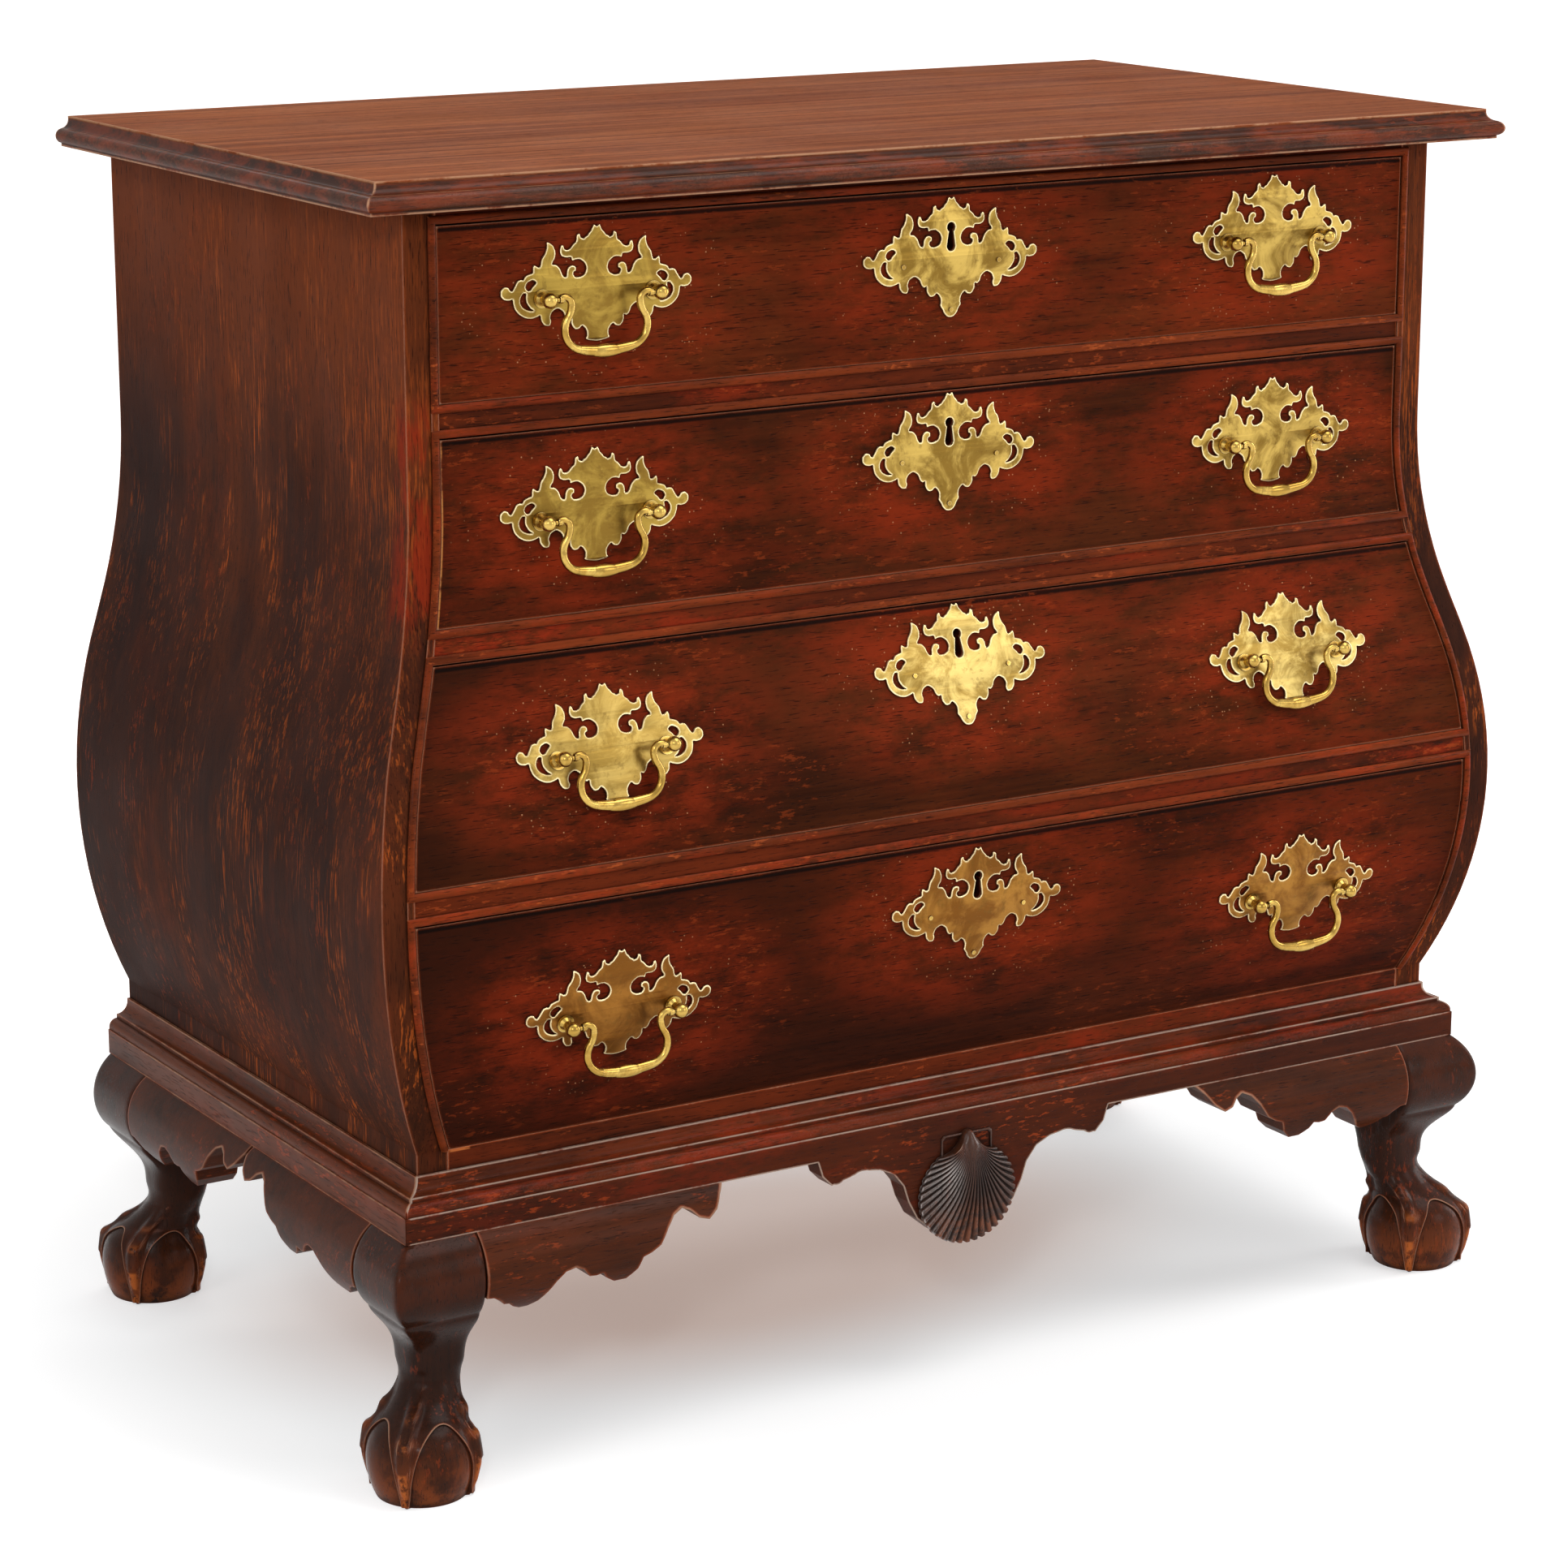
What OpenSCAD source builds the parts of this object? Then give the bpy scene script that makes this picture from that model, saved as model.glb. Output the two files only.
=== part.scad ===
// Four-drawer chest with a swelled (bombe) case on claw-and-ball feet.
// Millimetres, +Z up, the front faces -Y, and the floor is at Z = 0.

/* [Case] */

// Half the width of the straight upper part of the case
side_flat = 395; // [300:1:480]
// Depth of the straight upper part, from the back to the front face
front_flat = 438.5; // [360:0.5:520]
// Thickness of the case sides
side_thick = 22; // [18:0.5:26]
// Thickness of the back boards
back_thick = 12; // [8:0.5:16]
// Thickness of the bottom board of the case
floor_thick = 18; // [14:0.5:20]
// Height of the plain band between base moulding and lowest drawer
band_height = 13.5; // [10:0.5:20]
// Thickness of the rail over the top drawer
top_rail_thick = 11; // [10:0.5:16]
// Depth of the rail over the top drawer
top_rail_depth = 60; // [40:1:90]
// Thickness of the rails between the drawers
blade_thick = 20.5; // [18:0.5:26]
// Depth of the rails between the drawers, behind the straight front
blade_depth = 90; // [60:1:120]
// Width of the runners that carry the drawer sides
runner_width = 45; // [30:1:70]
// Width of the bead worked along the drawer openings
bead_width = 5; // [3:0.5:7]
// How far the bead stands out from the case front
bead_rise = 1.2; // [0.8:0.1:2]

/* [Swell] */

// How far the sides swell beyond the straight upper part
side_swell = 43; // [25:0.5:60]
// Height of the fullest point of the sides
side_full = 375; // [340:1:400]
// Height where the sides start to swell
side_start = 631; // [580:1:680]
// How far the sides still stand out at their lower end
side_foot = 9.6; // [4:0.2:16]
// How far the front swells beyond the straight upper part
front_swell = 39.5; // [25:0.5:55]
// Height of the fullest point of the front
front_full = 362; // [340:1:400]
// Height where the front starts to swell
front_start = 612; // [570:1:660]
// How far the front still stands out at its lower end
front_foot = 12.5; // [4:0.5:18]

/* [Top] */

// Thickness of the top board
top_thick = 20; // [17:0.5:24]
// How far the top board stands out past the case sides
top_over_side = 39.6; // [25:0.2:55]
// How far the top board stands out past the straight front
top_over_front = 35; // [25:0.5:50]
// Radius of the hollow in the moulded edge
top_cove = 6; // [4:0.5:7]
// Radius of the round lip of the moulded edge
top_lip = 5; // [4:0.5:6]

/* [Drawers] */

// Height of the opening of drawer 1, the top one
drawer_1_height = 110; // [95:0.5:125]
// Height of the opening of drawer 2
drawer_2_height = 118.5; // [100:0.5:135]
// Height of the opening of drawer 3
drawer_3_height = 134; // [115:0.5:150]
// Height of the opening of drawer 4
drawer_4_height = 157.5; // [140:0.5:175]
// Gap over each drawer front
drawer_gap_top = 1.4; // [0.8:0.1:2.5]
// Gap at each end of a drawer
drawer_gap_side = 1; // [0.5:0.1:2]
// Running gap under each drawer and behind it
drawer_gap_run = 0.3; // [0.2:0.05:0.6]
// Thickness of a drawer front where the case front is straight
drawer_front_thick = 22; // [20:0.5:28]
// Thickness of the drawer sides
drawer_side_thick = 10; // [8:0.5:14]
// Thickness of the drawer back
drawer_back_thick = 9; // [7:0.5:12]
// Thickness of the drawer bottom
drawer_bottom_thick = 8; // [6:0.5:10]
// Height of the drawer bottom above the lower edge of the drawer
drawer_bottom_rise = 6; // [4:0.5:10]
// How far the drawer back lies under the top edge of its front
drawer_back_drop = 8; // [4:0.5:15]
// Length of the dovetails that hold the sides in the front
tail_length = 12; // [8:0.5:15]
// Width of a dovetail at its broad end
tail_width = 20; // [14:0.5:24]

/* [Base] */

// Height of the feet, from the floor to the base moulding
leg_height = 172.5; // [150:0.5:190]
// Height of the base moulding
moulding_height = 38.3; // [34:0.1:46]
// How far the base moulding stands out from the case
moulding_out = 17.3; // [14:0.1:20]
// Height of the plain fascia at the foot of the base moulding
fascia_height = 17.5; // [14:0.5:19]
// Radius of the hollow in the base moulding
cove_radius = 8.5; // [5:0.5:9]
// Radius of the quarter round in the base moulding
ovolo_radius = 6; // [3:0.5:7]
// Width of the square block at the top of each foot
block_width = 50; // [44:1:58]
// How far knees and brackets swell out past the fascia
knee_swell = 14.7; // [8:0.1:18]
// Depth of the fullest point of the knee under the base moulding
knee_drop = 28.5; // [22:0.5:36]
// Length of a knee bracket along the case
bracket_length = 180; // [150:1:185]
// Gap between the two knee brackets of a side
bracket_gap = 3; // [1:0.5:10]
// Thickness of a knee bracket at the fascia line
bracket_thick = 18; // [14:0.5:22]
// Thickness of the plain brackets behind the back feet
back_bracket_thick = 16; // [12:0.5:20]
// Reach of the plain brackets behind the back feet
back_bracket_reach = 90; // [60:1:120]
// Height of the plain brackets behind the back feet
back_bracket_drop = 40.5; // [34:0.5:50]
// Width and height of a glue block
block_size = 26; // [18:1:32]
// Length of a glue block
block_length = 60; // [40:1:70]
// Space between a glue block and the end of its bracket
block_gap = 4; // [2:1:8]

/* [Feet] */

// Radius of the carved ball
ball_radius = 35.5; // [30:0.5:38]
// Height of the carved ball and claw
ball_height = 60; // [54:0.5:70]
// Radius of the ankle
ankle_radius = 21; // [18:0.5:25]
// Height of the ankle above the floor
ankle_height = 78; // [74:0.5:90]
// Distance of the ball's centre inside the fascia corner
ball_inset = 15; // [12:0.5:20]
// Distance of the ankle's centre inside the fascia corner
ankle_inset = 29.5; // [26:0.5:33]

/* [Pendant] */

// Half the width of the scalloped pendant below the fascia
pendant_half = 118; // [100:1:140]
// Depth of the pendant below the fascia
pendant_drop = 76; // [60:1:85]
// Thickness of the pendant board
pendant_thick = 17; // [14:0.5:20]
// Half the width of the carved shell
shell_half = 38; // [30:0.5:46]
// Height of the carved shell
shell_height = 79; // [64:0.5:90]
// How far the shell stands out from the pendant
shell_rise = 15; // [10:0.5:20]
// Number of ribs on the shell
shell_ribs = 22; // [12:2:26]

/* [Brasses] */

// Thickness of the pierced plates
plate_thick = 1.6; // [1.2:0.1:2.4]
// Distance between the two posts of a handle
post_spacing = 78.5; // [70:0.5:86]
// Radius of the round head of a post
post_ball = 5; // [4.5:0.1:6]
// Distance of the post head from the plate
post_reach = 10.5; // [9:0.5:16]
// Radius of the post stem
post_stem = 3; // [2.5:0.1:3.5]
// Radius of the shank inside the drawer front
shank_radius = 2; // [1.6:0.1:2.5]
// Thickness of wood that shank and nut clamp
shank_grip = 19; // [15:0.5:21]
// Radius of the nut on a shank
nut_radius = 6; // [5:0.5:7.5]
// Thickness of the nut on a shank
nut_thick = 3.5; // [2.5:0.5:5]
// Radius of the bail where it is thinnest
bail_radius = 2.3; // [2:0.1:2.7]
// Radius of the bail in its thick middle
bail_middle = 3.4; // [3:0.1:4]
// Radius of the bail's pivot pins
bail_pin = 1.6; // [1.3:0.1:1.8]
// Gap between a moving piece and what carries it
pivot_gap = 0.3; // [0.2:0.05:0.4]
// Drop of the bail under its pivots
bail_drop = 33.5; // [30:0.5:38]
// Distance of a handle from the middle of drawer 1
handle_offset = 262; // [220:1:290]
// How much farther out the handles of each lower drawer are
handle_step = 3; // [0:0.5:6]

/* [Locks] */

// Width of a drawer lock
lock_width = 58; // [50:1:70]
// Height of a drawer lock
lock_height = 44; // [40:1:56]
// Depth of a drawer lock
lock_depth = 12; // [11:0.5:14]
// Width of the lock bolt
bolt_width = 12; // [8:0.5:16]
// Thickness of the lock bolt
bolt_thick = 4.4; // [3:0.2:5]
// Length of the lock bolt
bolt_length = 16; // [13:0.5:17]
// How far the lock bolt rises
bolt_travel = 6; // [4:0.5:7]
// Radius of the round part of a keyhole
keyhole_radius = 3.4; // [3.2:0.1:4]
// Length of a keyhole
keyhole_length = 19; // [15:0.5:22]
// Radius of the small brass nails
nail_radius = 1.5; // [1:0.1:2]

/* [Hidden] */

$fn = 64;

// Large enough to reach past the whole chest in any direction
beyond = 2000;

drawer_heights = [drawer_1_height, drawer_2_height, drawer_3_height, drawer_4_height];
// How far the handles lie above the middle of each drawer
handle_rise = [5, 1.5, 0, -0.5];
// How far the middle of each keyhole plate lies under the top of its opening
escutcheon_drop = [49, 46, 46, 50.5];

moulding_top = leg_height + moulding_height;
case_floor = moulding_top + band_height;

// Lower and upper edge of the opening of drawer n
function open_low(n) = n == 4 ? case_floor : open_high(n + 1) + blade_thick;
function open_high(n) = open_low(n) + drawer_heights[n - 1];

rail_top = open_high(1) + top_rail_thick;
overall_height = rail_top + top_thick;

// The swelled outline is a hollow arc and a full arc with a short straight piece between them
arc_relief = 8;
function full_arc(out, full, foot) =
    (pow(full - case_floor, 2) + pow(out - foot, 2)) / (2 * (out - foot));
function hollow_arc(out, full, start, foot) =
    (pow(start - full, 2) + out * out) / (2 * out) - full_arc(out, full, foot) - arc_relief;

// Slope of the line that touches both arcs
function slope(r1, r2, out, rise) =
    atan2(rise, r1 + r2 - out) - acos((r1 + r2) / norm([r1 + r2 - out, rise]));
// A third of the length of that line
function lead(r1, r2, out, rise) =
    sqrt(pow(r1 + r2 - out, 2) + rise * rise - pow(r1 + r2, 2)) / 3;

// Lower and upper end of the straight piece, which cuts both arcs at a small angle
function straight_ends(out, full, start, foot) =
    let (
        r1 = full_arc(out, full, foot),
        r2 = hollow_arc(out, full, start, foot),
        turn = slope(r1, r2, out, start - full),
        past = lead(r1, r2, out, start - full) * 180 / PI,
        low = turn + past / r1,
        high = turn - past / r2
    )
    [[out - r1 + r1 * cos(low), full + r1 * sin(low)],
        [r2 - r2 * cos(high), start - r2 * sin(high)]];
// Point of the straight piece at height z
function on_line(ends, z) =
    ends[0][0] + (ends[1][0] - ends[0][0]) * (z - ends[0][1]) / (ends[1][1] - ends[0][1]);

function swell_at(z, out, full, start, foot) =
    let (
        r1 = full_arc(out, full, foot),
        r2 = hollow_arc(out, full, start, foot),
        ends = straight_ends(out, full, start, foot)
    )
    z >= start ? 0
    : z >= ends[1][1] ? r2 - sqrt(r2 * r2 - pow(start - z, 2))
    : z >= ends[0][1] ? on_line(ends, z)
    : z >= case_floor ? out - r1 + sqrt(r1 * r1 - pow(z - full, 2))
    : foot;

function side_at(z) = side_flat + swell_at(z, side_swell, side_full, side_start, side_foot);
function front_at(z) =
    front_flat + swell_at(z, front_swell, front_full, front_start, front_foot);
// Angle of the front face, positive where it looks up
function front_tilt(z) = atan(front_at(z - 0.5) - front_at(z + 0.5));

// Face of the case behind the base moulding, and the fascia in front of it
side_base = side_flat + side_foot;
front_base = front_flat + front_foot;
fascia_x = side_base + moulding_out;
fascia_y = front_base + moulding_out;

// Inner face of every drawer front
front_inside = front_flat - drawer_front_thick;
// Back end of the drawers
drawer_end = back_thick + drawer_gap_run;

function drawer_low(n) = open_low(n) + drawer_gap_run;
function drawer_high(n) = open_high(n) - drawer_gap_top;
function handle_x(n) = handle_offset + handle_step * (n - 1);
function handle_z(n) = (open_low(n) + open_high(n)) / 2 + handle_rise[n - 1];
function escutcheon_z(n) = open_high(n) - escutcheon_drop[n - 1];
function keyhole_z(n) = escutcheon_z(n) + 23.5;

// A bail hangs plumb, but it lies against its plate where the face looks up
function bail_turn(n) = max(-rest_angle, -front_tilt(handle_z(n)));
// Angle by which a bail can swing in before its bow meets the plate
rest_angle = asin((post_reach - bail_middle - pivot_gap) / bail_drop);

// Distance of the origin from the back, so that it lies under the middle of the bounding box
handle_front = front_at(handle_z(4))
    + (plate_thick + post_reach) * cos(front_tilt(handle_z(4))) + post_ball;
foot_front = fascia_y + max(knee_swell, ball_radius - ball_inset);
foot_back = min(0, knee_swell + ball_inset - ball_radius);
origin_y = (max(handle_front, foot_front, front_flat + top_over_front) + foot_back) / 2;

/* Shared shapes */

// Draws its children in the chest's own frame, where the back is at Y = 0
module chest() {
    translate([0, origin_y, 0])
        children();
}

// Runs an XZ outline from one depth to another, both measured forwards from the back
module along(from, to) {
    translate([0, -from, 0])
        rotate([90, 0, 0])
            linear_extrude(to - from)
                children();
}

// Runs an outline drawn as (forwards, up) across the width
module across(width) {
    rotate([90, 0, -90])
        linear_extrude(width, center = true)
            children();
}

// One half of a swelled outline, drawn back by inset
module swell_half(flat, out, full, start, foot, inset) {
    r1 = full_arc(out, full, foot);
    r2 = hollow_arc(out, full, start, foot);
    past = lead(r1, r2, out, start - full);
    ends = straight_ends(out, full, start, foot);
    edge = flat - inset;
    low = ends[0][1] - past;
    high = ends[1][1] + past;
    arc_end = ends[1][1] - past / 2;
    translate([0, start])
        square([edge, beyond]);
    difference() {
        translate([0, arc_end])
            square([edge + out, start - arc_end]);
        translate([edge + r2, start])
            circle(r2);
    }
    polygon([[0, low], [edge + on_line(ends, low), low], [edge + on_line(ends, high), high], [0, high]]);
    intersection() {
        translate([0, case_floor - 0.5])
            square([edge + out + 1, (ends[0][1] + ends[1][1]) / 2 - case_floor + 0.5]);
        translate([edge + out - r1, full])
            circle(r1);
    }
    square([edge + foot, case_floor + 0.5]);
}

// Outline of the case seen from the front
module side_outline(inset = 0) {
    for (s = [0, 1])
        mirror([s, 0])
            swell_half(side_flat, side_swell, side_full, side_start, side_foot, inset);
}

// Outline of the case seen from the side
module front_outline(inset = 0) {
    swell_half(front_flat, front_swell, front_full, front_start, front_foot, inset);
}

// A block of the full width and depth between two heights
module slab(low, high, from = 0, to = beyond) {
    translate([-beyond, -to, low])
        cube([2 * beyond, to - from, high - low]);
}

// The solid inside the case sides, between two heights and two depths
module inside_case(low, high, from, to, inset) {
    intersection() {
        along(from, to)
            side_outline(inset);
        slab(low, high, from, to);
    }
}

// Puts its children on the face of a drawer front, with +Z out of the face
module on_front(x, z, out = 0) {
    translate([x, -front_at(z), z])
        rotate([90 - front_tilt(z), 0, 0])
            translate([0, 0, out])
                children();
}

/* Case */

// The moulded edge: a hollow over a round lip
module top_edge(half) {
    arris = half - top_lip - top_cove + 1.5;
    difference() {
        union() {
            square([arris + top_cove - 0.5, top_thick]);
            translate([half - top_lip, top_lip + 2])
                circle(top_lip);
            square([half - top_lip, 2 * top_lip + 2]);
        }
        translate([arris + top_cove, top_thick - 2])
            circle(top_cove);
        translate([arris, top_thick - 2])
            square([top_cove + 1, 3]);
    }
}

module top_board() {
    color("sienna")
        chest()
            translate([0, 0, rail_top])
                intersection() {
                    along(0, front_flat + top_over_front)
                        union() {
                            top_edge(side_flat + top_over_side);
                            mirror([1, 0])
                                top_edge(side_flat + top_over_side);
                        }
                    across(2 * (side_flat + top_over_side))
                        top_edge(front_flat + top_over_front);
                }
}

// The two stiles are the front edges of the sides, with a raised bead along the opening
module side(s) {
    chest()
        mirror([s, 0, 0])
            difference() {
                union() {
                    intersection() {
                        along(0, front_flat + front_swell + 1)
                            side_outline();
                        across(2 * beyond)
                            front_outline();
                        translate([0, -beyond, leg_height])
                            cube([beyond, beyond, rail_top - leg_height]);
                    }
                    intersection() {
                        along(front_flat - 10, front_flat + front_swell + 3)
                            side_outline(side_thick - bead_width);
                        across(2 * beyond)
                            front_outline(-bead_rise);
                        translate([0, -beyond, case_floor])
                            cube([beyond, beyond, open_high(1) - case_floor]);
                    }
                }
                along(-1, front_flat + front_swell + 5)
                    side_outline(side_thick);
            }
}

module side_left() {
    color("saddlebrown")
        side(1);
}

module side_right() {
    color("saddlebrown")
        side(0);
}

module case_bottom() {
    color("burlywood")
        chest()
            inside_case(case_floor - floor_thick, case_floor, back_thick,
                front_base - side_thick, side_thick);
}

// Three boards, set between the case sides
module back_boards() {
    board = (rail_top - leg_height) / 3;
    color("tan")
        chest()
            for (k = [0 : 2])
                inside_case(leg_height + k * board, leg_height + (k + 1) * board - 0.5 * (2 - k),
                    0, back_thick, side_thick);
}

// A rail whose front edge follows the case front, with a bead along each opening it borders
module rail(low, high, depth, bead_low, bead_high) {
    intersection() {
        union() {
            intersection() {
                slab(low, high, front_flat - depth);
                across(2 * beyond)
                    front_outline();
            }
            if (bead_low)
                bead(low, low + bead_width);
            if (bead_high)
                bead(high - bead_width, high);
        }
        along(0, front_flat + front_swell + 5)
            side_outline(side_thick);
    }
}

module bead(low, high) {
    intersection() {
        slab(low, high, front_flat - 10);
        across(2 * beyond)
            front_outline(-bead_rise);
    }
}

// The slot over a drawer that takes its lock bolt
module bolt_mortise(n) {
    reach = bolt_travel - drawer_gap_top + 1;
    translate([-bolt_width / 2 - 1, -bolt_y - bolt_thick / 2 - 1, open_high(n) - 1])
        cube([bolt_width + 2, bolt_thick + 2, reach + 1]);
}

// Depth of the lock bolt's middle, forwards from the back
bolt_y = front_inside + lock_depth / 2;

module top_rail() {
    color("peru")
        chest()
            difference() {
                rail(open_high(1), rail_top, top_rail_depth, true, false);
                bolt_mortise(1);
            }
}

module bottom_rail() {
    color("peru")
        chest()
            inside_case(leg_height, case_floor, front_base - side_thick, front_base, side_thick);
}

module blades() {
    color("peru")
        chest()
            for (n = [2 : 4])
                difference() {
                    rail(open_high(n), open_low(n - 1), blade_depth, true, true);
                    bolt_mortise(n);
                }
}

module runners() {
    color("burlywood")
        chest()
            for (n = [2 : 4])
                difference() {
                    inside_case(open_high(n), open_low(n - 1), back_thick,
                        front_flat - blade_depth, side_thick);
                    translate([0, 0, open_high(n) - 1])
                        linear_extrude(blade_thick + 2)
                            square([2 * (side_at(open_low(n - 1)) - side_thick - runner_width),
                                4 * beyond], center = true);
                }
}

/* Base */

// Section of the base moulding, drawn from the case face outwards and from its top down
module moulding_section() {
    lip = moulding_out - cove_radius - ovolo_radius - 0.8;
    cove_edge = lip + cove_radius;
    shoulder = fascia_height + 1.5;
    difference() {
        square([cove_edge, moulding_height]);
        translate([cove_edge, moulding_height - 2])
            circle(cove_radius);
        translate([lip, moulding_height - 2])
            square([cove_radius + 1, 3]);
    }
    square([cove_edge + ovolo_radius, shoulder]);
    intersection() {
        translate([cove_edge, shoulder])
            circle(ovolo_radius);
        square([cove_edge + ovolo_radius, shoulder + ovolo_radius]);
    }
    square([moulding_out, fascia_height]);
}

// Half of the pendant's outline below the fascia: two lobes, two hollows and a deep drop
module pendant_half_outline() {
    w = pendant_half;
    lobe = 11;
    hollow = 15;
    difference() {
        polygon([
            [0, 1], [w, 1], [w - 4, -lobe], [w - lobe, -18], [w - 24, -15], [w - 36, -12],
            [w - 49, -14], [w - 60, -19], [w - 68, -29], [w - 72, -41], [w - 79, -54],
            [w - 96, -68], [w - 110, -pendant_drop], [0, -pendant_drop]
        ]);
        translate([w - 36, -12 - hollow])
            circle(hollow);
    }
    translate([w - lobe - 4, -18 + lobe - 4])
        circle(lobe - 4);
}

// A wedge that ends a moulding at the mitre of the front corners
module mitre(front) {
    linear_extrude(beyond)
        if (front)
            polygon([
                [-side_base - 60, -front_base - 60], [side_base + 60, -front_base - 60],
                [side_base - 60, -front_base + 60], [-side_base + 60, -front_base + 60]
            ]);
        else
            polygon([
                [side_base - 60, 1], [side_base + 60, 1],
                [side_base + 60, -front_base - 60], [side_base - 60, -front_base + 60]
            ]);
}

// The front length of the base moulding, in one piece with the pendant
module base_moulding_front() {
    color("chocolate")
        chest()
            intersection() {
                union() {
                    across(2 * fascia_x)
                        translate([front_base, leg_height])
                            moulding_section();
                    along(fascia_y - pendant_thick, fascia_y)
                        translate([0, leg_height])
                            union() {
                                pendant_half_outline();
                                mirror([1, 0])
                                    pendant_half_outline();
                            }
                }
                mitre(true);
            }
}

// A length of the base moulding along each side
module base_moulding_sides() {
    color("chocolate")
        chest()
            for (s = [0, 1])
                mirror([s, 0, 0])
                    intersection() {
                        along(0, fascia_y)
                            translate([side_base, leg_height])
                                moulding_section();
                        mitre(false);
                    }
}

// Radius of the round in which knees and brackets swell
knee_radius = (knee_drop * knee_drop + knee_swell * knee_swell) / (2 * knee_swell);
knee_height = leg_height - knee_drop;

// Lower edge of a knee bracket: s runs from the foot, z down from the fascia
bracket_edge = [
    [0, -41], [5, -41.5], [10, -44.5], [14, -48.5], [18, -49], [22, -52.5], [28, -55.5],
    [34, -55.5], [40, -52], [45, -45.5], [50, -38.5], [56, -33], [63, -31.5], [69, -34],
    [74, -40], [79, -40.5], [84, -39.5], [87, -44], [94, -48.5], [103, -48.5], [110, -42],
    [113, -34], [119, -32], [126, -28], [132, -18.5], [138, -11.5], [145, -8.5], [151, -11],
    [156, -16], [163, -18], [170, -13], [175, -5.5]
];

module bracket_outline() {
    polygon(concat([[0, 0]], bracket_edge, [[bracket_length, 0]]));
}

// The swelled section shared by the brackets, with its face to the right
module knee_section(face) {
    intersection() {
        translate([face + knee_swell - knee_radius, knee_height])
            circle(knee_radius);
        translate([face - bracket_thick, 0])
            square([bracket_thick + knee_swell + 1, leg_height]);
    }
}

module knee_brackets_front() {
    color("firebrick")
        chest()
            for (s = [0, 1])
                mirror([s, 0, 0])
                    intersection() {
                        across(2 * beyond)
                            knee_section(fascia_y);
                        along(front_base - 40, fascia_y + 40)
                            translate([fascia_x - block_width, leg_height])
                                mirror([1, 0])
                                    bracket_outline();
                    }
}

// Fascia corner of the back feet, set so that the knee ends at the back of the case
back_corner = knee_swell;
side_middle = (fascia_y + back_corner) / 2;

// Two brackets on each side, which end a small gap apart halfway between the feet
module knee_brackets_side() {
    color("firebrick")
        chest()
            for (s = [0, 1])
                mirror([s, 0, 0])
                    for (back = [false, true])
                        intersection() {
                            along(back ? 0 : side_middle + bracket_gap / 2,
                                back ? side_middle - bracket_gap / 2 : fascia_y)
                                knee_section(fascia_x);
                            across(2 * beyond)
                                translate([back ? back_corner + block_width
                                    : fascia_y - block_width, leg_height])
                                    mirror([back ? 0 : 1, 0])
                                        bracket_outline();
                        }
}

// Plain quarter-round brackets behind the back feet
module knee_brackets_back() {
    reach = back_bracket_reach;
    drop = back_bracket_drop;
    color("firebrick")
        chest()
            for (s = [0, 1])
                mirror([s, 0, 0])
                    along(0, back_bracket_thick)
                        translate([fascia_x - block_width - reach, leg_height - drop])
                            difference() {
                                square([reach, drop]);
                                circle(0.8 * drop);
                                square([0.45 * reach, 0.2 * drop]);
                            }
}

// Blocks that hold the brackets and feet to the case
module glue_blocks() {
    size = block_size;
    long = block_length;
    gap = block_gap;
    color("burlywood")
        chest()
            for (s = [0, 1])
                mirror([s, 0, 0]) {
                    translate([fascia_x - block_width - long - gap, -fascia_y + bracket_thick,
                        leg_height - size])
                        cube([long, size, size]);
                    for (y = [-fascia_y + block_width + gap,
                        -back_corner - block_width - gap - long])
                        translate([fascia_x - bracket_thick - size, y, leg_height - size])
                            cube([size, long, size]);
                    translate([(pendant_half - long) / 2, -fascia_y + pendant_thick,
                        leg_height - size])
                        cube([long, size, size]);
                }
}

/* Feet */

function mix(a, b, t) = a + (b - a) * t;
function smooth(t) = let (u = max(0, min(1, t))) u * u * (3 - 2 * u);
// Angle from the nearest claw: four claws stand on the diagonals
function claw_angle(a) = (a + 360) % 90 - 45;

// Directions of a section's points, closer together over the claws
foot_angles = [for (q = [0 : 3]) for (d = [-30, -17, -10, -5, 0, 5, 10, 17, 30, 45]) 90 * q + 45 + d];

// Heights and radii of a claw and of the web, as shares of the ball's height and radius
claw_line = [
    [0, 0.94], [0.05, 1], [0.17, 1.08], [0.35, 1.14], [0.45, 1.15], [0.6, 1.14], [0.7, 1.1],
    [0.78, 0.95], [0.85, 0.86], [0.93, 0.84], [0.99, 0.76], [1.06, 0.65], [1.17, 0.6], [1.35, 0.58]
];
web_line = [[0.8, 0.78], [0.87, 0.74], [0.95, 0.67], [1.03, 0.6], [1.17, 0.57], [1.35, 0.57]];
claw_width = [[0, 6.5], [0.35, 8], [0.7, 9.5], [0.93, 12], [1.1, 16], [1.35, 30]];

// The web ends over the ball in an arch from claw to claw
function web_end(a) = ball_height * (0.85 - 0.8 * pow((45 - abs(claw_angle(a))) / 36, 3));

function ball_at(z) = ball_radius * sqrt(max(0.01, 1 - pow((z / ball_height - 0.42) / 0.62, 2)));

// Radius of the foot below the ankle, about its own leaning axis
function carved_radius(a, z) =
    let (
        t = z / ball_height,
        web = ball_radius * lookup(t, web_line),
        base = z > web_end(a) ? max(web, ball_at(z) + 2) : ball_at(z),
        claw = ball_radius * lookup(t, claw_line)
    )
    max(base, base + (claw - base) * exp(-pow(claw_angle(a) / lookup(t, claw_width), 4)));

// How far the knee block stands past the fascia line at a height
function knee_at(z) = knee_swell - knee_radius + sqrt(max(0, pow(knee_radius, 2)
    - pow(z - knee_height, 2)));

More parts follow.
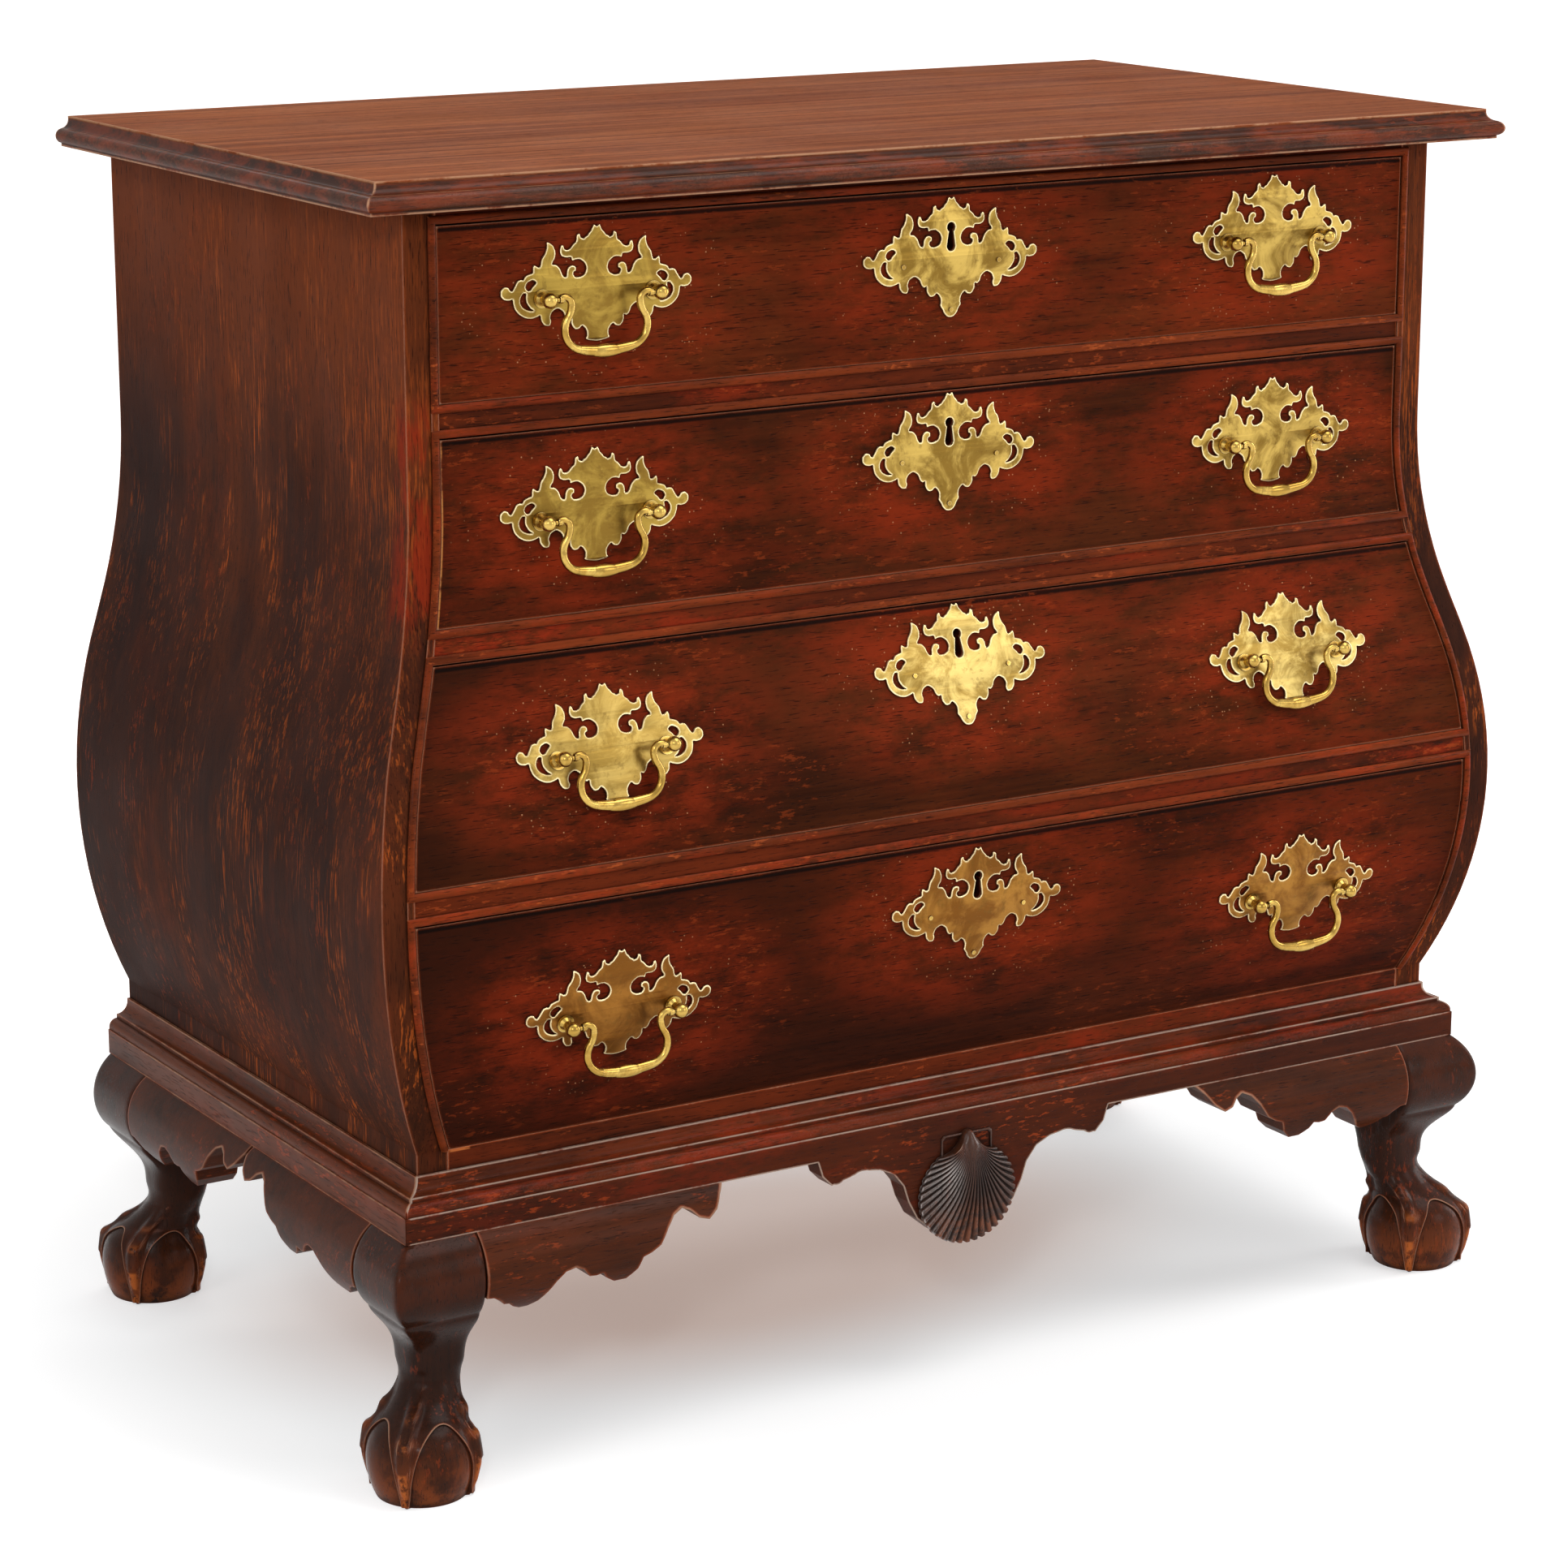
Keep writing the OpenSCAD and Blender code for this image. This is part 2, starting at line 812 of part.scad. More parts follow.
// The lip is where the knee turns in to the leg
lip_height = knee_height - 0.85 * knee_drop;
function leg_out(z) = z > lip_height ? knee_at(z)
    : mix(ankle_radius * 0.7 - ankle_inset, knee_at(lip_height), smooth((z - ankle_height - 8)
        / (lip_height - ankle_height - 8)));

function foot_inset(z) = mix(ball_inset, ankle_inset, smooth((z - ball_height * 0.68)
    / (ankle_height - ball_height * 0.68)));

// One point of a foot's section; x and y point out of the fascia corner
function foot_point(a, z, flat_back) =
    let (
        c = foot_inset(z),
        r = z < ankle_height ? carved_radius(a, z)
            : ankle_radius + 4 * smooth((z - ankle_height) / (lip_height - ankle_height)),
        round = [-c + r * cos(a), -c + r * sin(a)],
        out = leg_out(z),
        out_y = flat_back ? mix(out, knee_swell, smooth((z - lip_height + 10) / 14)) : out,
        q = 1 / max(abs(cos(a)), abs(sin(a))),
        ux = (block_width + out) / 2,
        uy = (block_width + out_y) / 2,
        box = [out - ux + ux * q * cos(a), out_y - uy + uy * q * sin(a)],
        t = smooth((z - ankle_height - 4) / (lip_height - ankle_height))
    )
    [mix(round[0], box[0], t), mix(round[1], box[1], t), z];

// Heights of the sections: the ball, the ankle, the leg up to the lip, and the knee
foot_levels = concat(
    [for (t = [0, 0.05, 0.13, 0.26, 0.42, 0.55, 0.66, 0.73, 0.78, 0.83, 0.88, 0.95, 1.03])
        ball_height * t],
    [for (t = [1 : 4]) 1.03 * ball_height + t * (ankle_height - 1.03 * ball_height) / 4],
    [for (t = [1 : 5]) ankle_height + t * (lip_height - ankle_height) / 5],
    [for (t = [1 : 5]) lip_height + t * (leg_height - lip_height) / 5]
);

module foot(flat_back) {
    n = len(foot_angles);
    rings = len(foot_levels);
    points = [for (z = foot_levels) for (a = foot_angles) foot_point(a, z, flat_back)];
    walls = [for (i = [0 : rings - 2]) for (k = [0 : n - 1]) for (half = [0, 1])
        let (a = i * n + k, b = i * n + (k + 1) % n)
        half == 0 ? [a, a + n, b] : [b, a + n, b + n]];
    last = (rings - 1) * n;
    middle = rings * n;
    floor_face = [for (k = [0 : n - 1]) [k, (k + 1) % n, middle]];
    top_face = [for (k = [0 : n - 1]) [last + (k + 1) % n, last + k, middle + 1]];
    polyhedron(points = concat(points, [[-ball_inset, -ball_inset, 0],
        [-block_width / 2, -block_width / 2, leg_height]]),
        faces = concat(walls, floor_face, top_face), convexity = 6);
}

module foot_front_right() {
    color("darkred")
        chest()
            translate([fascia_x, -fascia_y, 0])
                mirror([0, 1, 0])
                    foot(false);
}

module foot_front_left() {
    color("darkred")
        chest()
            translate([-fascia_x, -fascia_y, 0])
                rotate(180)
                    foot(false);
}

module foot_back_right() {
    color("darkred")
        chest()
            translate([fascia_x, -back_corner, 0])
                foot(true);
}

module foot_back_left() {
    color("darkred")
        chest()
            translate([-fascia_x, -back_corner, 0])
                mirror([1, 0, 0])
                    foot(true);
}

/* Carved shell */

shell_rings = 9;
shell_top = leg_height + 3;
fan_angle = 158;

// The rim is an oval, drawn in towards the hinge; angles run from its lowest point
function rim_x(a) = shell_half * sin(a) * (1 - 0.6 * pow(max(0, (abs(a) - 90) / 75), 2));
function rim_z(a) = -shell_height / 2 * (1 + cos(a));

// Ribs spread from the hinge, i along a rib and j across the fan, with a scalloped rim
function shell_point(i, j, steps) =
    let (
        t = i / shell_rings,
        a = fan_angle * (2 * j / steps - 1),
        ridge = j % 2 == 0 ? 1 : -1,
        edge = 1 + 0.012 * ridge * smooth(2 * t - 1),
        dome = mix(0.3, 0.6, t) + 0.42 * sin(180 * pow(t, 0.8)),
        side = 1 - 0.3 * pow(a / fan_angle, 2)
    )
    [rim_x(a) * edge * pow(t, 0.8), shell_rise * dome * side + 0.7 * ridge * smooth(3 * t),
        rim_z(a) * edge * pow(t, 1.12)];

module pendant_shell() {
    steps = 2 * shell_ribs;
    n = steps + 1;
    front = [for (i = [1 : shell_rings]) for (j = [0 : steps]) shell_point(i, j, steps)];
    back = [for (j = [0 : steps]) let (p = shell_point(shell_rings, j, steps)) [p[0], 0, p[2]]];
    last = (shell_rings - 1) * n;
    tip = (shell_rings + 1) * n;
    skin = [for (i = [0 : shell_rings - 2]) for (j = [0 : steps - 1])
        let (a = i * n + j) for (h = [0, 1])
            h == 0 ? [a, a + 1, a + n] : [a + 1, a + n + 1, a + n]];
    hinge = [for (j = [0 : steps - 1]) [tip, j + 1, j]];
    rim = [for (j = [0 : steps - 1]) let (a = last + j) for (h = [0, 1])
        h == 0 ? [a, a + 1, a + n] : [a + 1, a + 1 + n, a + n]];
    left = [for (i = [0 : shell_rings - 2]) [i * n, (i + 1) * n, tip + 1]];
    right = [for (i = [0 : shell_rings - 2]) [(i + 1) * n + steps, i * n + steps, tip + 1]];
    ends = [
        [tip, 0, tip + 1], [steps, tip, tip + 1], [last, last + n, tip + 1],
        [last + n + steps, last + steps, tip + 1]
    ];
    flat = [concat([for (j = [0 : steps]) last + n + j], [tip + 1])];
    color("maroon")
        chest()
            translate([0, -fascia_y, shell_top])
                mirror([0, 1, 0])
                    polyhedron(points = concat(front, back, [[0, 0.3 * shell_rise, 0], [0, 0, 0]]),
                        faces = concat(skin, hinge, rim, left, right, ends, flat), convexity = 8);
}

/* Drawers */

// The solid that a drawer's sides and ends run in
module drawer_space(n, from, to, inset, low, high) {
    inside_case(low, high, from, to, side_thick + drawer_gap_side + inset);
}

// One dovetail of a drawer side, as seen from the side of the chest
module tails(n, extra = 0) {
    height = drawer_high(n) - drawer_low(n);
    count = floor((height - 16) / (tail_width + 8));
    pitch = (height - 12) / count;
    across(2 * beyond)
        for (k = [0 : count - 1])
            translate([front_inside - 0.5, drawer_low(n) + 6 + pitch * (k + 0.5)])
                polygon([
                    [0, -tail_width / 2 + 3], [0.5, -tail_width / 2 + 3],
                    [tail_length + 0.5, -tail_width / 2], [tail_length + 0.5, tail_width / 2],
                    [0.5, tail_width / 2 - 3], [0, tail_width / 2 - 3]
                ]);
}

module drawer_front(n) {
    low = drawer_low(n);
    high = drawer_high(n);
    color("brown")
        chest()
            difference() {
                intersection() {
                    drawer_space(n, front_inside, front_flat + front_swell + 5, 0, low, high);
                    across(2 * beyond)
                        front_outline();
                }
                intersection() {
                    tails(n);
                    difference() {
                        drawer_space(n, 0, beyond, -5, low - 1, high + 1);
                        drawer_space(n, -1, beyond, drawer_side_thick, low - 2, high + 2);
                    }
                }
                lock_box(n);
                translate([0, 0, keyhole_z(n)])
                    along(front_inside, front_flat + front_swell + 5)
                        keyhole();
                for (s = [-1, 1], p = [-1, 1])
                    on_front(s * handle_x(n) + p * post_spacing / 2, handle_z(n)) {
                        translate([0, 0, -beyond / 2])
                            cylinder(r = shank_radius + 0.1, h = beyond);
                        translate([0, 0, -shank_grip - plate_thick - 100])
                            cylinder(r = nut_radius + 1, h = 100 + plate_thick);
                    }
            }
}

// Two sides that follow the swell of the case, with their tails let into the front
module drawer_sides(n) {
    low = drawer_low(n);
    high = drawer_high(n);
    color("wheat")
        chest()
            for (s = [0, 1])
                mirror([s, 0, 0])
                    intersection() {
                        translate([0, -beyond, 0])
                            cube(beyond);
                        difference() {
                            drawer_space(n, drawer_end, front_inside + tail_length, 0, low, high);
                            drawer_space(n, -1, beyond, drawer_side_thick, low - 1, high + 1);
                        }
                        union() {
                            slab(low, high, 0, front_inside);
                            tails(n);
                        }
                    }
}

module drawer_back(n) {
    color("tan")
        chest()
            drawer_space(n, drawer_end, drawer_end + drawer_back_thick, drawer_side_thick,
                drawer_low(n) + drawer_bottom_rise + drawer_bottom_thick,
                drawer_high(n) - drawer_back_drop);
}

module drawer_bottom(n) {
    low = drawer_low(n) + drawer_bottom_rise;
    color("navajowhite")
        chest()
            drawer_space(n, drawer_end, front_inside, drawer_side_thick, low,
                low + drawer_bottom_thick);
}

/* Brasses */

// Half of the pierced plate that handles and keyholes share, about the line of the posts
plate_edge = [
    [2, 42], [3.2, 39.5], [4.5, 38], [6.5, 36], [8, 35.5], [9.5, 33.5], [11.5, 35], [13, 37],
    [14, 36], [14.3, 32.5], [16.5, 31], [19, 28], [22, 27.5], [23.5, 29], [25, 31], [26, 27],
    [25, 24.5], [22, 23], [18, 23], [17.5, 20.5]
];
plate_flame = [
    [21, 13], [22.5, 10.5], [24.5, 12], [26, 16], [28.5, 18.5], [31.5, 19], [29.5, 22.5],
    [29, 27], [31, 31], [35, 33], [35, 29.5], [36.5, 26], [39, 23], [39.5, 18], [41.5, 17.5],
    [44.5, 19.5], [44.7, 14.5], [48, 14], [51, 12], [54, 11], [56, 9.5], [58, 6], [60.5, 4]
];
plate_foot = [
    [59, -1], [58.5, -4.5], [56, -9], [51, -12.5], [46, -13.5], [42, -12.5], [40, -11.5],
    [38.5, -15], [34, -18.5], [33.5, -13], [32, -10], [28.5, -8], [25, -9], [23, -13],
    [20.5, -15.5], [18, -15.5], [18, -19], [15.5, -21.5], [12, -20], [9.5, -20.5],
    [8, -24], [8.5, -28.5], [6, -29.5]
];

// The outline, with the scrolls drawn as arcs
module plate_half(keyed) {
    difference() {
        union() {
            polygon(concat([[0, 40.5]], plate_edge, [[10, 21], [10, 13]], plate_flame,
                plate_foot, [[0, keyed ? -29 : -30]]));
            translate([63.5, 3])
                circle(3.8);
            translate([60, 1.5])
                circle(3.5);
            translate([17.8, 14.5])
                circle(2.9);
            if (keyed)
                translate([0, -30])
                    circle(5.5);
        }
        difference() {
            translate([12.8, 15.3])
                circle(5.6);
            translate([17.8, 14.5])
                circle(2.9);
        }
        crescents();
    }
}

// The two crescents pierced round a post
module crescents() {
    difference() {
        translate([post_spacing / 2 + 5.5, 1])
            circle(10);
        translate([post_spacing / 2, 0])
            circle(9);
        translate([post_spacing / 2 + 7, 3.5])
            circle(3.6);
        translate([post_spacing / 2 - 12, -20])
            square([13, 40]);
    }
}

module plate_outline(keyed) {
    for (s = [0, 1])
        mirror([s, 0])
            plate_half(keyed);
}

// A round hole over a slot that widens a little downwards
module keyhole() {
    circle(keyhole_radius);
    polygon([
        [-0.7 * keyhole_radius, 0], [0.7 * keyhole_radius, 0],
        [keyhole_radius, -keyhole_length + 2 * keyhole_radius],
        [-keyhole_radius, -keyhole_length + 2 * keyhole_radius]
    ]);
    translate([0, -keyhole_length + 2 * keyhole_radius])
        circle(keyhole_radius);
}

// A thin skin over the case front, so that the plates bend with it
module front_skin(z) {
    difference() {
        slab(z - 60, z + 60, front_flat - 20);
        across(2 * beyond)
            front_outline();
        difference() {
            slab(z - 61, z + 61, front_flat - 21);
            across(4 * beyond)
                front_outline(-plate_thick);
        }
    }
}

module drawer_plates(n) {
    color("gold")
        chest() {
            for (s = [-1, 1])
                intersection() {
                    front_skin(handle_z(n));
                    along(front_flat - 10, front_flat + front_swell + 10)
                        translate([s * handle_x(n), handle_z(n)])
                            difference() {
                                plate_outline(false);
                                for (p = [-1, 1])
                                    translate([p * post_spacing / 2, 0])
                                        circle(shank_radius + 0.3);
                            }
                }
            intersection() {
                front_skin(escutcheon_z(n));
                along(front_flat - 10, front_flat + front_swell + 10)
                    difference() {
                        translate([0, escutcheon_z(n)])
                            plate_outline(true);
                        translate([0, keyhole_z(n)])
                            keyhole();
                    }
            }
        }
}

// A turned post: a foot on the plate, a waisted stem, a round head, and a shank with its nut
module post(n, side) {
    head = plate_thick + post_reach;
    tip = -shank_grip - nut_thick;
    difference() {
        union() {
            translate([0, 0, tip])
                cylinder(r = shank_radius, h = head - tip);
            translate([0, 0, plate_thick])
                cylinder(r = post_ball + 0.8, h = 1.2);
            translate([0, 0, plate_thick])
                cylinder(r1 = post_ball, r2 = post_stem, h = 3.5);
            translate([0, 0, plate_thick])
                cylinder(r = post_stem, h = post_reach);
            translate([0, 0, head])
                sphere(post_ball);
        }
        translate([0, 0, head])
            rotate([0, -side * 90, 0])
                cylinder(r = bail_pin + pivot_gap, h = 2 * post_ball);
        translate([side * 0.1 * post_ball, 0, head])
            sphere(bail_pin + pivot_gap);
    }
    translate([0, 0, tip])
        difference() {
            cylinder(r = nut_radius, h = nut_thick);
            translate([0, 0, -1])
                cylinder(r = shank_radius, h = nut_thick + 2);
        }
}

module drawer_posts(n) {
    color("goldenrod")
        chest() {
            for (s = [-1, 1], p = [-1, 1])
                on_front(s * handle_x(n) + p * post_spacing / 2, handle_z(n))
                    post(n, p);
            for (x = [-37, 37])
                nail(x, escutcheon_z(n));
            nail(0, escutcheon_z(n) - 30);
        }
}

// A small brass nail through the keyhole plate
module nail(x, z) {
    on_front(x, z) {
        translate([0, 0, -6])
            cylinder(r = 0.7, h = 6 + plate_thick);
        translate([0, 0, plate_thick])
            cylinder(r = nail_radius, h = 0.8);
    }
}

// The bail: pin, swan neck, side and bow, all arcs that run into each other
bail_end = post_spacing / 2 - 1;
neck_x = post_spacing / 2 - 10;
neck_r = 5;
flare_r = 14;
flare_turn = 35;
side_r = 13;

module arc(r, from, to, w) {
    rotate(from)
        rotate_extrude(angle = to - from)
            translate([r, 0])
                circle(w, $fn = 24);
}

// The bail thickens a little from its necks to its bow, and each arc runs on inside the next
module bail_half() {
    neck_z = -neck_r + 1.5;
    flare = [neck_x - neck_r + flare_r, neck_z];
    joint = flare - flare_r * [cos(flare_turn), sin(flare_turn)];
    hip = joint - side_r * [cos(flare_turn), sin(flare_turn)];
    // The bow is the arc through the lowest point that runs into the side
    level = -bail_drop;
    bow_r = (pow(hip[0], 2) + pow(hip[1] - level, 2) - side_r * side_r)
        / (2 * (hip[1] - level - side_r));
    bow_z = level + bow_r;
    turn = atan2(hip[1] - bow_z, hip[0]);
    lap = 3;
    translate([neck_x, 0, 0])
        rotate([0, 90, 0])
            cylinder(r = bail_pin, h = bail_end - neck_x - 0.1 * post_ball);
    rotate([90, 0, 0]) {
        translate([neck_x, neck_z])
            arc(neck_r, 62, 180 + 2 * lap, bail_radius);
        translate(flare)
            arc(flare_r, 180, 180 + flare_turn + lap, bail_radius + 0.1);
        translate(hip)
            arc(side_r, turn - lap, flare_turn, bail_radius + 0.2);
        translate([0, bow_z])
            arc(bow_r, -90 - lap, turn, bail_radius + 0.3);
    }
    // The shoulder that the pivot pin stands in
    translate([neck_x + 1.2, 0, 0.2])
        rotate([0, 90, 0])
            cylinder(r = bail_radius + 0.15, h = 2.2);
}

module bail(n, side) {
    z = handle_z(n);
    color("darkgoldenrod")
        chest()
            on_front(side * handle_x(n), z, plate_thick + post_reach)
                rotate([-90 - bail_turn(n), 0, 0])
                    union() {
                        bail_half();
                        mirror([1, 0, 0])
                            bail_half();
                        translate([0, 0, -bail_drop])
                            rotate([0, 90, 0])
                                bail_spindle();
                    }
}

// The thick middle of the bail
module bail_spindle() {
    half = 13;
    bulge = bail_middle - 1.2;
    r = (half * half + bulge * bulge) / (2 * bulge);
    rotate_extrude()
        intersection() {
            translate([bail_middle - r, 0])
                circle(r, $fn = 96);
            translate([0, -half])
                square([bail_middle, 2 * half]);
        }
}

/* Locks */

// The space of a lock in the inner face of the drawer front
module lock_box(n) {
    translate([-lock_width / 2, -front_inside - lock_depth, drawer_high(n) - lock_height])
        cube([lock_width, lock_depth + 1, lock_height + 1]);
}

module drawer_lock(n) {
    top = drawer_high(n);
    color("dimgray")
        chest()
            difference() {
                translate([-lock_width / 2, -front_inside - lock_depth, top - lock_height])
                    cube([lock_width, lock_depth, lock_height]);
                translate([-bolt_width / 2 - pivot_gap, -bolt_y - bolt_thick / 2 - pivot_gap,
                    top - bolt_length - 2 * pivot_gap])
                    cube([bolt_width + 2 * pivot_gap, bolt_thick + 2 * pivot_gap, bolt_length + 2]);
                translate([0, 0, keyhole_z(n)])
                    along(front_inside + 2, front_inside + lock_depth + 1)
                        keyhole();
            }
}

module drawer_lock_bolt(n) {
    color("silver")
        chest()
            translate([-bolt_width / 2, -bolt_y - bolt_thick / 2,
                drawer_high(n) - bolt_length - pivot_gap])
                cube([bolt_width, bolt_thick, bolt_length]);
}

top_board();
side_left();
side_right();
case_bottom();
back_boards();
top_rail();
bottom_rail();
blades();
runners();
base_moulding_front();
base_moulding_sides();
foot_front_left();
foot_front_right();
foot_back_left();
foot_back_right();
knee_brackets_front();
knee_brackets_side();
knee_brackets_back();
pendant_shell();
glue_blocks();
drawer_front(1);  // drawer_1_front
drawer_sides(1);  // drawer_1_sides
drawer_back(1);  // drawer_1_back
drawer_bottom(1);  // drawer_1_bottom
drawer_plates(1);  // drawer_1_plates
drawer_posts(1);  // drawer_1_posts
bail(1, -1);  // drawer_1_bail_left
bail(1, 1);  // drawer_1_bail_right
drawer_lock(1);  // drawer_1_lock
drawer_lock_bolt(1);  // drawer_1_lock_bolt
drawer_front(2);  // drawer_2_front
drawer_sides(2);  // drawer_2_sides
drawer_back(2);  // drawer_2_back
drawer_bottom(2);  // drawer_2_bottom
drawer_plates(2);  // drawer_2_plates
drawer_posts(2);  // drawer_2_posts
bail(2, -1);  // drawer_2_bail_left
bail(2, 1);  // drawer_2_bail_right
drawer_lock(2);  // drawer_2_lock
drawer_lock_bolt(2);  // drawer_2_lock_bolt
drawer_front(3);  // drawer_3_front
drawer_sides(3);  // drawer_3_sides
drawer_back(3);  // drawer_3_back
drawer_bottom(3);  // drawer_3_bottom
drawer_plates(3);  // drawer_3_plates
drawer_posts(3);  // drawer_3_posts
bail(3, -1);  // drawer_3_bail_left
bail(3, 1);  // drawer_3_bail_right
drawer_lock(3);  // drawer_3_lock
drawer_lock_bolt(3);  // drawer_3_lock_bolt
drawer_front(4);  // drawer_4_front
drawer_sides(4);  // drawer_4_sides
drawer_back(4);  // drawer_4_back
drawer_bottom(4);  // drawer_4_bottom
drawer_plates(4);  // drawer_4_plates
drawer_posts(4);  // drawer_4_posts
bail(4, -1);  // drawer_4_bail_left
bail(4, 1);  // drawer_4_bail_right
drawer_lock(4);  // drawer_4_lock
drawer_lock_bolt(4);  // drawer_4_lock_bolt
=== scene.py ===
# %% [markdown]
# # Dressing a swelled chest of drawers
# The wooden case, the drawers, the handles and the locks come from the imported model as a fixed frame.
# Blender adds what the solids leave plain: carved feet, a ribbed shell, pierced brass plates with
# bevelled edges, and finishes of old mahogany and worn brass.
# Lengths are in metres, unless a name ends in _mm.

# %% Load the frame
import bpy
import bmesh
import math
import numpy as np
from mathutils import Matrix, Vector


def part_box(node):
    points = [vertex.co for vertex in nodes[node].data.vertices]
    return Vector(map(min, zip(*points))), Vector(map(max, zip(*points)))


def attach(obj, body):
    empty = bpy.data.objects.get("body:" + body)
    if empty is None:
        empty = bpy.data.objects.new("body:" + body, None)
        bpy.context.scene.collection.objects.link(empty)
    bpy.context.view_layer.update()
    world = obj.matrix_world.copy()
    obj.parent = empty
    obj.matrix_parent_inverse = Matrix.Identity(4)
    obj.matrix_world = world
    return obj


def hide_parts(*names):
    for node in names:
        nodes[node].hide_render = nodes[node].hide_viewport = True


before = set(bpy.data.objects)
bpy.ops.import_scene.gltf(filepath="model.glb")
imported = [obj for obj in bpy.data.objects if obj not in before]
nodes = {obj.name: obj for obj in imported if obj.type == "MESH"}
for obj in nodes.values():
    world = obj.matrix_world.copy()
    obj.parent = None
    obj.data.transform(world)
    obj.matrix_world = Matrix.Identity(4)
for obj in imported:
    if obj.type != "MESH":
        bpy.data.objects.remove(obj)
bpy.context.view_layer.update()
print("nodes in the frame:", len(nodes))

# %% [markdown]
# ## The swelled outline
# Every curved piece of this chest follows one line: straight at the top, a hollow, a full swell, and
# in again to the base. The plates have to bend with it, so the line is written here once as a
# function of height, with the same sizes as the solids.

# %% The case's outline
MM = 0.001
DRAWERS = (1, 2, 3, 4)     # from the top down
floor_line_mm = 224.3      # underside of the lowest drawer
# how far the flat part stands from the middle or the back, how far the swell stands out from it, the
# heights of the full swell and of the start of the hollow, and how far out the base still stands
side_flat_mm, side_swell_mm, side_full_mm, side_start_mm, side_foot_mm = 395, 43, 375, 631, 9.6
front_flat_mm, front_swell_mm, front_full_mm, front_start_mm, front_foot_mm = 438.5, 39.5, 362, 612, 12.5
arc_relief_mm = 8          # room that the straight piece takes from the two arcs
top_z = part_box("top_board")[1].z
back_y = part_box("back_boards")[1].y


def swell_mm(z, out, full, start, foot):
    """How far the face stands out at height z, from a full arc, a straight piece and a hollow arc."""
    r1 = ((full - floor_line_mm) ** 2 + (out - foot) ** 2) / (2 * (out - foot))
    r2 = ((start - full) ** 2 + out ** 2) / (2 * out) - r1 - arc_relief_mm
    across, rise = r1 + r2 - out, start - full
    turn = math.atan2(rise, across) - math.acos((r1 + r2) / math.hypot(across, rise))
    past = math.sqrt(across ** 2 + rise ** 2 - (r1 + r2) ** 2) / 3
    low = (out - r1 + r1 * math.cos(turn + past / r1), full + r1 * math.sin(turn + past / r1))
    high = (r2 - r2 * math.cos(turn - past / r2), start - r2 * math.sin(turn - past / r2))
    z = np.asarray(z, float)
    hollow = r2 - np.sqrt(np.maximum(r2 ** 2 - (start - z) ** 2, 0))
    straight = low[0] + (high[0] - low[0]) * (z - low[1]) / (high[1] - low[1])
    full_arc = out - r1 + np.sqrt(np.maximum(r1 ** 2 - (z - full) ** 2, 0))
    return np.select([z >= start, z >= high[1], z >= low[1], z >= floor_line_mm],
                     [0 * z, hollow, straight, full_arc], foot)


def front_face(z):
    """Y of the drawer fronts at height z."""
    shape = swell_mm(np.asarray(z) / MM, front_swell_mm, front_full_mm, front_start_mm, front_foot_mm)
    return back_y - (front_flat_mm + shape) * MM


print("front face at the swell:", float(front_face(front_full_mm * MM)))

# %% [markdown]
# ## Camera
# The photograph looks at the front left corner from a little above. Its lines were fitted with a
# plain pinhole camera, which gives the place, the angles and the lens below.

# %% Camera
lens_mm, sensor_mm = 101.09, 36
tilt_down, turn_right = 0.248, 0.551       # radians
far_enough = 60

camera_data = bpy.data.cameras.new("camera")
camera_data.lens = lens_mm
camera_data.sensor_width = sensor_mm
camera_data.clip_end = far_enough
camera = bpy.data.objects.new("camera", camera_data)
camera.location = (-1.58195, back_y - 2.80797, 1.12972)
camera.rotation_euler = (math.pi / 2 - tilt_down, 0, -turn_right)
bpy.context.scene.collection.objects.link(camera)
bpy.context.scene.camera = camera
print("camera at", tuple(round(v, 3) for v in camera.location))

# %% [markdown]
# ## Light
# The chest was lit softly from all round, and six rectangles of light do the same. A large one over
# the front right lights the top and the fronts. One on the left keeps the side readable. One far out
# in front lays the grey sheen on the mouldings and knees. An upright one on the right draws the
# bright line down the far edge, a long one behind grazes the back of the top, and a small one in
# front on the left gives the brass its sharp glints. The world fills the rest evenly.

# %% Lights and world
lights = {                    # place, the point that it looks at, width and height, watts
    "light_over": ((0.75, -0.8, 2.5), (0, 0, 0.35), (1.5, 1.3), 25),
    "light_left": ((-2.6, -0.9, 1.5), (-0.2, 0, 0.45), (1.4, 1.8), 11),
    "light_front": ((1.75, -2.9, 1.45), (0.1, 0, 0.45), (1.2, 1.2), 14),
    "light_right": ((2.2, -0.6, 0.7), (0.1, -0.1, 0.1), (0.5, 1.2), 12),
    "light_behind": ((0.9, 1.9, 2.0), (0, -0.1, 0.3), (2.2, 0.3), 12),
    "light_small": ((-1.8, -2.5, 1.8), (0, 0, 0.4), (0.35, 0.35), 14),
}
world_fill = 0.38             # strength of the world's light on things

for name, (stand, aim, size, watts) in lights.items():
    data = bpy.data.lights.new(name, "AREA")
    data.shape = "RECTANGLE"
    data.size, data.size_y = size
    data.energy = watts
    light = bpy.data.objects.new(name, data)
    light.location = stand
    light.rotation_euler = (Vector(aim) - Vector(stand)).to_track_quat("-Z", "Y").to_euler()
    bpy.context.scene.collection.objects.link(light)
print("lights:", len(lights), "of", sum(watts for *_, watts in lights.values()), "watts in all")


def new_material(name):
    """A node material, its tree and its Principled shader."""
    material = bpy.data.materials.new(name)
    material.use_nodes = True
    tree = material.node_tree
    return material, tree, tree.nodes["Principled BSDF"]


world = bpy.data.worlds.new("studio")
world.use_nodes = True
bpy.context.scene.world = world
bpy.context.scene.view_settings.view_transform = "Standard"


